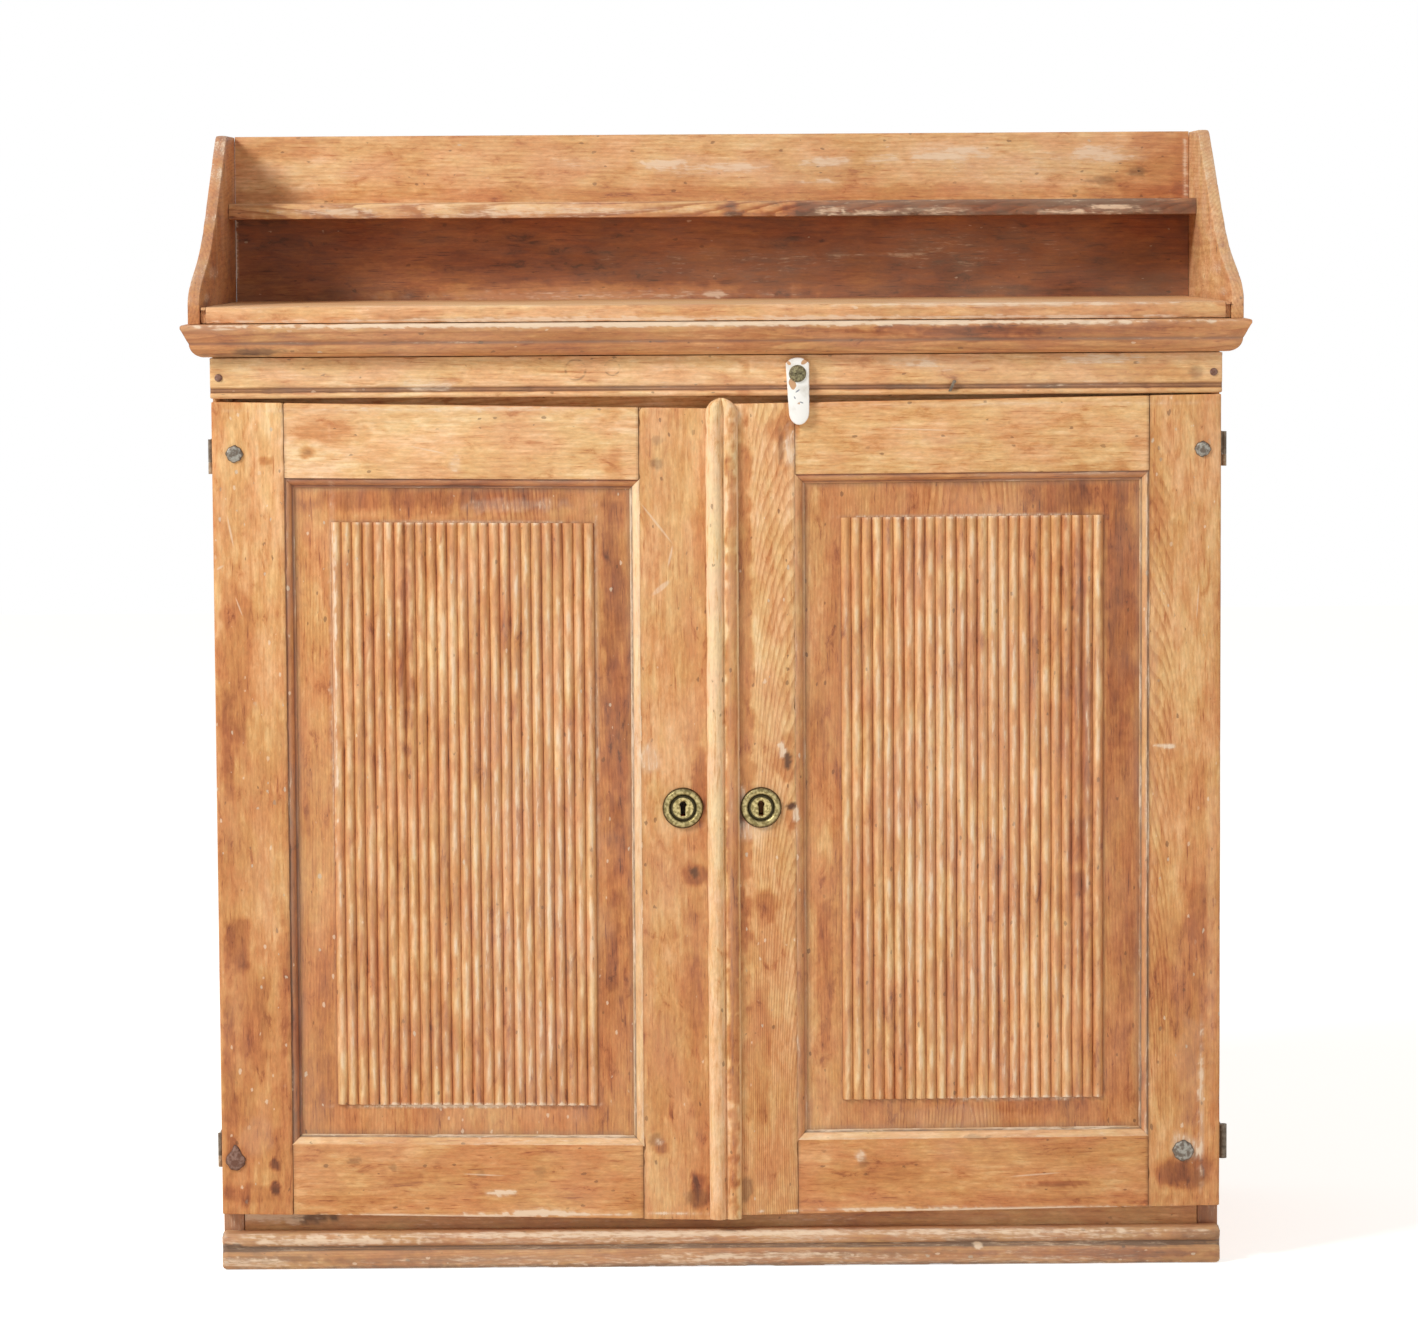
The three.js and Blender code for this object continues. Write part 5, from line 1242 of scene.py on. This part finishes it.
# %% Gallery floor, back and shelf
low, high = limits("gallery_floor")
SHOULDER = 528.0
front, back = low[1], high[1]
section = outline([(back, low[2], 0, 6), (back, high[2], 0, 5),
                   (front, high[2], 1.8, 2.5), (front, low[2], 0.4, 12)])
FLOOR_PATCHES = [
    # the white line at z 996.5 along the floor board's lower front edge is a painted highlight, standing for
    # the light caught by the cornice's top arris just below it
    ("white", 0, 996.5, 560, 2.6, 0.35), ("white", 260, 1009, 220, 2.5, 0.25),
    ("grime", -250, 997, 160, 2, 0.3), ("grime", 330, 996, 180, 1.6, 0.35),
    ("white", -120, 1003, 60, 4, 0.15),
]
FLOOR = dict(stain=0.36, figure=0.35, ring=3.0, pith=(60, 20), edge_white=0.4, white=0.14, fall=0.0,
             patches=FLOOR_PATCHES)
board("gallery_floor_board", [sweep(section, "x", -SHOULDER, SHOULDER, 4.0, 0)], "carcass",
      ["gallery_floor"], "yzx", 441, **FLOOR)
for side, word in ((-1, "left"), (1, "right")):
    x0, x1 = sorted([side * SHOULDER, side * high[0]])
    lip = box_section(x0, x1, high[2] - 4.0, high[2] - 0.15, 0.3, 3)
    under = box_section(x0, x1, low[2], high[2] - 3.0, 0.3, 3)
    shells = [sweep(lip, "y", front + 0.3, back, 4.0, 0), sweep(under, "y", front + 4.5, back, 8.0, 0)]
    board(f"gallery_floor_lip_{word}", shells, "carcass", ["gallery_floor"], "xzy", 441, wavy=0.1, **FLOOR)
low, high = limits("gallery_back")
section = box_section(low[1], high[1], low[2], high[2], 1.0, 3.4)
GALLERY_BACK_PATCHES = [
    ("grime", -490, 1020, 70, 40, 0.3), ("grime", -380, 1014, 110, 12, 0.3),
    ("grime", 470, 1040, 60, 34, 0.25), ("stain", -150, 1018, 240, 13, -0.32),
    ("white", -150, 1015, 210, 7, 0.16), ("white", 5, 1016, 14, 4, 0.4),
    # soft smears of whitewash above the shelf
    ("white", -12, 1160, 84, 12, 0.2), ("white", -56, 1161, 24, 6, 0.3), ("white", 25, 1158, 44, 4, 0.2),
    ("white", 128, 1163, 40, 9, 0.22), ("white", 130, 1164, 24, 5, 0.2), ("white", 126, 1141, 28, 3, 0.3),
    ("white", 192, 1165, 24, 7, 0.32), ("white", -150, 1163, 40, 8, 0.14),
    ("white", -420, 1160, 80, 16, 0.1), ("white", 262, 1172, 56, 10, 0.2), ("white", 250, 1168, 30, 5, 0.2),
    ("white", 285, 1176, 24, 3, 0.2), ("white", 440, 1170, 56, 12, 0.2), ("white", 425, 1172, 30, 5, 0.2),
    ("white", 456, 1165, 26, 4, 0.22), ("white", 330, 1158, 90, 14, 0.1),
    ("white", 60, 1150, 120, 10, 0.08), ("white", -330, 1150, 120, 10, 0.06),
    # the stain band at z 1128 along the whole back is painted shadow where the shelf meets the back
    ("grime", 476, 1150, 12, 5, 0.6), ("grime", 436, 1140, 22, 4, 0.5), ("stain", 0, 1128, 1500, 9, 0.2),
    ("stain", -470, 1180, 60, 14, 0.25), ("stain", 515, 1155, 60, 60, 0.28),
    ("stain", 528, 1150, 14, 60, 0.15), ("white", 531, 1150, 3, 44, 0.4), ("white", -533, 1060, 2, 46, 0.5),
    ("grime", 330, 1018, 150, 5, 0.4),
    # specks on the darker part under the shelf
    ("white", 60, 1075, 60, 4, 0.08), ("white", 280, 1066, 150, 26, 0.1), ("white", 20, 1050, 160, 20, 0.1),
    ("white", 180, 1060, 70, 2, 0.14), ("grime", 500, 1022, 50, 16, 0.35),
]
shell = sweep(section, "x", low[0], high[0], 4.0, 0)
# below darkens the back under the shelf: its own red-brown stain there, together with painted shadow from the
# shelf
board("gallery_back_board", [shell], "carcass", ["gallery_back"], "zyx", 442, stain=0.36, figure=0.2,
      ring=4.2, pith=(-30, 70), lean=(0, 0.04), fall=0.0, patches=GALLERY_BACK_PATCHES, blotch=0.16,
      below=(1108, 0.72), white=0.13, slot="pine_stained")
SHELF_PATCHES = [
    ("stain", -100, 1104, 460, 4, 0.35), ("stain", 310, 1110, 320, 20, 0.8),
    ("grime", 330, 1117, 300, 5, 0.5), ("grime", 420, 1108, 180, 12, 0.3), ("white", 128, 1109, 22, 5, 0.2),
    ("stain", -290, 1111, 300, 14, -0.22), ("white", -280, 1110, 280, 8, 0.08),
    ("figure", 0, 1110, 600, 14, 0.3), ("white", 180, 1106, 40, 2, 0.25), ("white", 250, 1108, 60, 4, 0.16),
    ("white", 455, 1108, 55, 5, 0.15), ("white", 440, 1111, 24, 2, 0.3), ("white", 385, 1106, 40, 2, 0.25),
    ("white", -430, 1110, 60, 5, 0.22), ("white", -120, 1110, 140, 4, 0.14),
    ("white", -260, 1107, 80, 3, 0.16), ("stain", -240, 1114, 120, 3, -0.2),
]
low, high = limits("gallery_shelf")
section = outline([(low[1], low[2], 1.2, 4), (high[1], low[2], 0, 3),
                   (high[1], high[2], 0, 4), (low[1], high[2], 5.5, 2.6)])
shell = sweep(section, "x", low[0], high[0], 3.0, 0)
board("gallery_shelf_board", [shell], "carcass", ["gallery_shelf"], "yzx", 443,
      stain=0.5, figure=0.8, ring=2.6, pith=(12, 6), lean=(0.05, 0.03), white=0.16, edge_white=0.35, fall=0.0,
      patches=SHELF_PATCHES)
print("gallery done")

# %% [markdown]
# ## Metals
# Wrought iron: forged black, then worn grey where it is touched and brown where damp sits. Brass:
# cast and turned, dull from age, nearly black in its grooves. Both keep the default IOR, because
# for metals the colour already says how they reflect.

# %% Iron and brass
def metal(name, worn, dull, dirt, lump_mm, metallic, low_rough, high_rough, relief):
    """An old metal. worn, dull and dirt are its rubbed, common and dirty colours."""
    material, tree, shader = new_material(name)
    place = add(tree, "TexCoord", out="Object")
    lump = add(tree, "TexNoise", named={"Vector": place, "Scale": 1 / (lump_mm * MM), "Detail": 5.0})
    speck = add(tree, "TexNoise", named={"Vector": place, "Scale": 3 / (lump_mm * MM), "Detail": 3.0})
    hollow = add(tree, "Attribute", attribute_name="hollow", out="Fac")
    share = add(tree, "MapRange", lump, 0.4, 0.62, **SMOOTH)
    colour = add(tree, "Mix", share, named={6: linear(dull), 7: linear(worn)}, **COLOURS)
    dirty = add(tree, "Math", hollow, 1.6, -0.2, use_clamp=True, **TIMES_PLUS)
    colour = add(tree, "Mix", dirty, named={6: colour, 7: linear(dirt)}, **COLOURS)
    tree.links.new(colour, shader.inputs["Base Color"])
    rough = add(tree, "MapRange", speck, 0.3, 0.7, low_rough, high_rough)
    tree.links.new(rough, shader.inputs["Roughness"])
    shader.inputs["Metallic"].default_value = metallic
    bump = add(tree, "Bump", named={"Strength": relief, "Distance": 0.0005, "Height": speck})
    tree.links.new(bump, shader.inputs["Normal"])
    return material


IRON = metal("wrought_iron", "#9C988E", "#6A5F54", "#3A2A20", 4.0, 0.55, 0.4, 0.65, 0.6)
RUSTY_IRON = metal("rusty_iron", "#8A6A5C", "#6A4636", "#33201A", 4.0, 0.2, 0.55, 0.8, 0.7)
DARK_IRON = metal("dark_iron", "#857868", "#665849", "#3A2C22", 5.0, 0.3, 0.5, 0.75, 0.6)
DUSTY_IRON = metal("dusty_iron", "#B09A80", "#94795F", "#5E4A38", 4.0, 0.15, 0.6, 0.85, 0.5)
SCREW_IRON = metal("olive_screw", "#8C8460", "#5A5038", "#2E2818", 2.0, 0.4, 0.4, 0.65, 0.6)
OLD_BRASS = metal("old_brass", "#CBBA84", "#8A7B4E", "#3A321F", 3.0, 0.85, 0.3, 0.55, 0.35)

# %% [markdown]
# ## Small turned and forged pieces
# Escutcheons and rivets are stacks of rings: the same outline, smaller or larger, at each
# depth. Scaling rings gives a lathe's work when the outline is a circle, and a smith's when it is
# not.

# %% Stacked rings
def round_outline(radius, count=56):
    """A circle, as (x, z)."""
    angles = np.linspace(0, 2 * np.pi, count, endpoint=False)
    return np.stack([radius * np.cos(angles), radius * np.sin(angles)], axis=1)


def stack(shape, centre, levels, dent=0.0, seed=1):
    """levels are (scale, y, dirt), front to back."""
    rings = []
    for scale, y, _ in levels:
        flat = shape * scale
        x, z = centre[0] + flat[:, 0], centre[1] + flat[:, 1]
        rings.append(np.stack([x, np.full(len(flat), y), z], axis=1))
    rings = np.array(rings)
    outward = np.zeros(rings.shape)
    hollow = np.repeat([[level[2]] for level in levels], len(shape), axis=1)
    shell = Shell(rings, outward, np.zeros(hollow.shape), hollow)
    shell.points[:, 1] += dent * (0.5 + 0.5 * noise(shell.points, 4.5, seed))
    return shell


# %% Escutcheons and rivets
METAL_BASE = DOOR_FRONT - 0.3
ESCUTCHEON_RADIUS = 21.4
# each ring of the two profiles: share of the radius, height above the base, dirt
ESCUTCHEON_RINGS = [
    (0.05, 1.3, 0.1), (0.3, 1.6, 0.0), (0.47, 2.6, 0.0), (0.51, 2.4, 0.2), (0.54, 0.9, 0.7),
    (0.6, 0.7, 0.75), (0.64, 1.6, 0.7), (0.67, 2.8, 0.5), (0.71, 3.7, 0.3), (0.77, 4.3, 0.2),
    (0.84, 4.3, 0.3), (0.91, 3.9, 0.45), (0.96, 2.7, 0.6), (1.0, 1.0, 0.9), (0.99, 0.0, 1.0),
]
RIVET_RINGS = [
    (0.06, 3.1, 0.1), (0.4, 3.05, 0.0), (0.7, 2.8, 0.0), (0.88, 2.2, 0.1), (0.97, 1.3, 0.4),
    (1.0, 0.5, 0.8), (0.99, 0.0, 1.0),
]


def escutcheon(word):
    """A turned brass plate with a keyhole in it."""
    door = DOORS[word]
    levels = [(s, METAL_BASE - up, d) for s, up, d in ESCUTCHEON_RINGS]
    shell = stack(round_outline(ESCUTCHEON_RADIUS, 96), (door["key"], KEY_Z), levels, 0.12, 7)
    piece = build(f"{word}_escutcheon_brass", [shell], smooth=40)
    cut(piece, keyhole(door["key"], 0))
    return mount(piece, OLD_BRASS, door["body"], [f"{word}_escutcheon"])


def rivet(word, place, radius, x, z, material=IRON, shape=None):
    """A forged rivet: a hammered head on a shaft through the stile."""
    shape = round_outline(radius) if shape is None else shape
    count = np.arange(len(shape))
    wobble = 1 + 0.035 * np.sin(count * 0.9 + x) + 0.03 * np.cos(count * 0.47)
    shape = shape * wobble[:, None] * 0.97
    levels = [(s, METAL_BASE - up, d) for s, up, d in RIVET_RINGS]
    head = stack(shape, (x, z), levels, 0.5, int(abs(x)))
    shaft = stack(round_outline(3.0, 20), (x, z), [(1, METAL_BASE + 0.02, 1), (1, DOOR_BACK - 0.3, 1)])
    piece = build(f"{word}_{place}_rivet", [head, shaft], smooth=40)
    return mount(piece, material, DOORS[word]["body"], [f"{word}_{place}_hinge_rivet"])


def drop_outline(radius, rise, count=56):
    """A drop: round below, drawn to a point above."""
    angles = np.linspace(-np.pi / 2, 1.5 * np.pi, count, endpoint=False)
    reach = radius + (rise - radius) * np.clip(np.sin(angles), 0, 1) ** 3
    width = 1 - 0.35 * np.clip(np.sin(angles), 0, 1) ** 2
    return np.stack([radius * np.cos(angles) * width, reach * np.sin(angles)], axis=1)


for word in DOORS:
    escutcheon(word)
rivet("left", "upper", 9.0, -500.7, 859.0)
rivet("right", "upper", 8.3, 504.7, 858.0)
rivet("left", "lower", 10.6, -509.5, 117.2, RUSTY_IRON, drop_outline(10.6, 17.0))
rivet("right", "lower", 11.2, 485.8, 120.6)

# %% [markdown]
# Hinge leaves, pintles, lock cases and bolts keep their CAD solids. They are flat forgings whose
# shape is right already, and only need eased edges: a weld modifier joins the corners that the file
# format split, and a bevel modifier eases them.

# %% Ironwork that keeps its CAD solid
IRONWORK = [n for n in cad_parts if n.endswith(("hinge_leaf", "hinge_pintle", "lock_case", "lock_bolt"))]
NAILS = ["frieze_nail_left", "frieze_nail_right"]
SLIM_PINTLES = ["left_upper_hinge_pintle", "left_lower_hinge_pintle", "right_upper_hinge_pintle"]
IRON_OF = dict.fromkeys(NAILS, RUSTY_IRON) | dict.fromkeys(SLIM_PINTLES, DUSTY_IRON)
IRON_OF["turn_button_screw"] = SCREW_IRON
EASED_EDGE, WELD_REACH = 0.4 * MM, 0.02 * MM
for name in IRONWORK + ["turn_button_screw", *NAILS, "bent_nail"]:
    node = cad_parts[name]
    node.data.materials.clear()
    node.data.materials.append(IRON_OF.get(name, DARK_IRON))
    node.modifiers.new("join corners", "WELD").merge_threshold = WELD_REACH
    ease = node.modifiers.new("eased edges", "BEVEL")
    ease.width, ease.segments = EASED_EDGE, 2
    ease.limit_method, ease.angle_limit = "ANGLE", math.radians(40)
print("ironwork:", len(IRONWORK))

# %% [markdown]
# ## The turn button
# A whittled scrap of wood under thick white gloss, chipped along its edges down to bare wood.

# %% Turn button
# marks on its face: x, z, half length, half width, slope in degrees
BUTTON_FACE = -30.0
LOST_PAINT = [(78.5, 929, 8, 4.5, 75), (92, 952, 6, 3, -40), (75, 950, 4, 2.5, 50)]
GREY_MARKS = [(84, 921, 3.2, 1.0, -35), (88, 909, 2.5, 0.8, 20), (81, 914, 2.0, 0.8, 60)]


def chipped_paint():
    """Old gloss paint: white, slightly yellow, with chips that show wood."""
    material, tree, shader = new_material("chipped_white_paint")
    place = add(tree, "TexCoord", out="Object")
    chip = add(tree, "TexNoise", named={"Vector": place, "Scale": 1 / 0.009, "Detail": 4.0})
    smear = add(tree, "TexNoise", named={"Vector": place, "Scale": 1 / 0.02, "Detail": 4.0})
    edge = add(tree, "Attribute", attribute_name="arris", out="Fac")
    worn = add(tree, "Math", edge, 0.12, chip, **TIMES_PLUS)
    bare = add(tree, "MapRange", worn, 0.79, 0.82, **SMOOTH)
    lost = add(tree, "Math", near_marks(tree, LOST_PAINT, BUTTON_FACE), 0.5, chip, **TIMES_PLUS)
    lost = add(tree, "MapRange", lost, 0.72, 0.8, **SMOOTH)
    bare = add(tree, "Math", bare, lost, **GREATER)
    grey = add(tree, "MapRange", smear, 0.5, 0.75, **SMOOTH)
    white = add(tree, "Mix", grey, named={6: linear("#F8F6F1"), 7: linear("#D9D4CA")}, **COLOURS)
    smudge = near_marks(tree, GREY_MARKS, BUTTON_FACE)
    white = add(tree, "Mix", smudge, named={6: white, 7: linear("#8E9298")}, **COLOURS)
    colour = add(tree, "Mix", bare, named={6: white, 7: linear("#C99B72")}, **COLOURS)
    tree.links.new(colour, shader.inputs["Base Color"])
    shader.inputs["Roughness"].default_value = 0.35
    drop = add(tree, "Math", bare, -1.0, **TIMES)
    bump = add(tree, "Bump", named={"Strength": 0.6, "Distance": 0.0006, "Height": drop})
    tree.links.new(bump, shader.inputs["Normal"])
    return material


BUTTON = (84.0, 939.0)
shape = curve((0, 0), (16.3, 17), 40, 140, 9) + curve((1.5, -39.5), (10.8, 14), 180, 360, 13)
section = outline([(BUTTON[0] + a, BUTTON[1] + b) for a, b in shape], 2.0)
shell = sweep(section, "y", -30.5, -23.5, 1.0, 1.6)
piece = build("turn_button_wood", [wear(shell, 501, rub=0.2, chips=0.6, wavy=0.2)])
mount(piece, chipped_paint(), "turn_button", ["turn_button"])

# %% [markdown]
# ## Light, floor and camera
# The photo was taken in a soft, bright room: one large window-like light from the upper left, a weak
# fill from the right, and white all round. The world is pure white and the floor glows only to the
# camera and to reflections, so the object's own light stays plain.

# %% Light
def area_light(name, place, aim, size, power, colour="#FFFFFF"):
    """A soft square light that looks at a point."""
    data = bpy.data.lights.new(name, "AREA")
    data.size, data.energy, data.color = size, power, linear(colour)[:3]
    lamp = bpy.data.objects.new(name, data)
    lamp.location = place
    lamp.rotation_euler = (Vector(aim) - Vector(place)).to_track_quat("-Z", "Y").to_euler()
    bpy.context.scene.collection.objects.link(lamp)


area_light("window", (-3.3, -2.7, 3.6), (0, 0, 0.6), 1.3, 182)
area_light("fill", (2.6, -3.2, 1.4), (0, 0, 0.6), 2.2, 16)


def seen_white(tree):
    """A factor that is 1 for what the camera sees directly, in a mirror or through glass."""
    path = add(tree, "LightPath").node.outputs
    first = add(tree, "Math", path["Is Camera Ray"], path["Is Glossy Ray"], **GREATER)
    return add(tree, "Math", first, path["Is Transmission Ray"], **GREATER)


PURE_WHITE = (1, 1, 1, 1)
world = bpy.data.worlds.new("soft room")
bpy.context.scene.world = world
world.use_nodes = True
tree = world.node_tree
tree.nodes.clear()
room = add(tree, "Background", linear("#FFFDF8"), 0.45)
bright = add(tree, "Background", PURE_WHITE, 1.0)
add(tree, "OutputWorld", add(tree, "MixShader", seen_white(tree), room, bright))

# %% Floor
mesh = bpy.data.meshes.new("floor")
mesh.from_pydata([(-9, -9, 0), (9, -9, 0), (9, 9, 0), (-9, 9, 0)], [], [(0, 1, 2, 3)])
floor = bpy.data.objects.new("floor", mesh)
bpy.context.scene.collection.objects.link(floor)
material = bpy.data.materials.new("pale_floor")
material.use_nodes = True
tree = material.node_tree
tree.nodes.clear()
matt = add(tree, "BsdfDiffuse", linear("#F4F2EE"))
lit = add(tree, "AddShader", matt, add(tree, "Emission", PURE_WHITE, 0.6))
add(tree, "OutputMaterial", add(tree, "MixShader", seen_white(tree), matt, lit))
floor.data.materials.append(material)

# %% [markdown]
# ## Camera
# The photo's view was worked out from the cabinet's own straight lines: a long lens at chest height, a
# little over five metres away, tilted slightly down and turned a hair.

# %% Camera
FOCUS_PX, PHOTO_WIDTH = 5040.8, 1418
SENSOR_WIDTH = 36.0
CAMERA_MM = (-41.4, -5255.5, 1087.2)
YAW, PITCH, ROLL = [math.radians(a) for a in (0.3501, 4.8595, 0.3458)]
camera_data = bpy.data.cameras.new("camera")
camera_data.sensor_width = SENSOR_WIDTH
camera_data.lens = SENSOR_WIDTH * FOCUS_PX / PHOTO_WIDTH
camera = bpy.data.objects.new("camera", camera_data)
bpy.context.scene.collection.objects.link(camera)


def turned(a, b, angle):
    """The pair a, b turned by an angle in their own plane."""
    return math.cos(angle) * a + math.sin(angle) * b, -math.sin(angle) * a + math.cos(angle) * b


def turned_view(x, up, ahead):
    """A direction in the camera's own terms, turned into the room's."""
    x, up = turned(x, up, ROLL)
    ahead, up = turned(ahead, up, PITCH)
    x, ahead = turned(x, ahead, YAW)
    return Vector((x, ahead, up))


columns = [turned_view(1, 0, 0), turned_view(0, 1, 0), -turned_view(0, 0, 1)]
camera.matrix_world = Matrix.Translation(to_frame(CAMERA_MM)) @ Matrix(columns).transposed().to_4x4()
bpy.context.scene.camera = camera
bpy.context.scene.view_settings.view_transform = "Standard"
print("lens", round(camera_data.lens, 1), "mm")
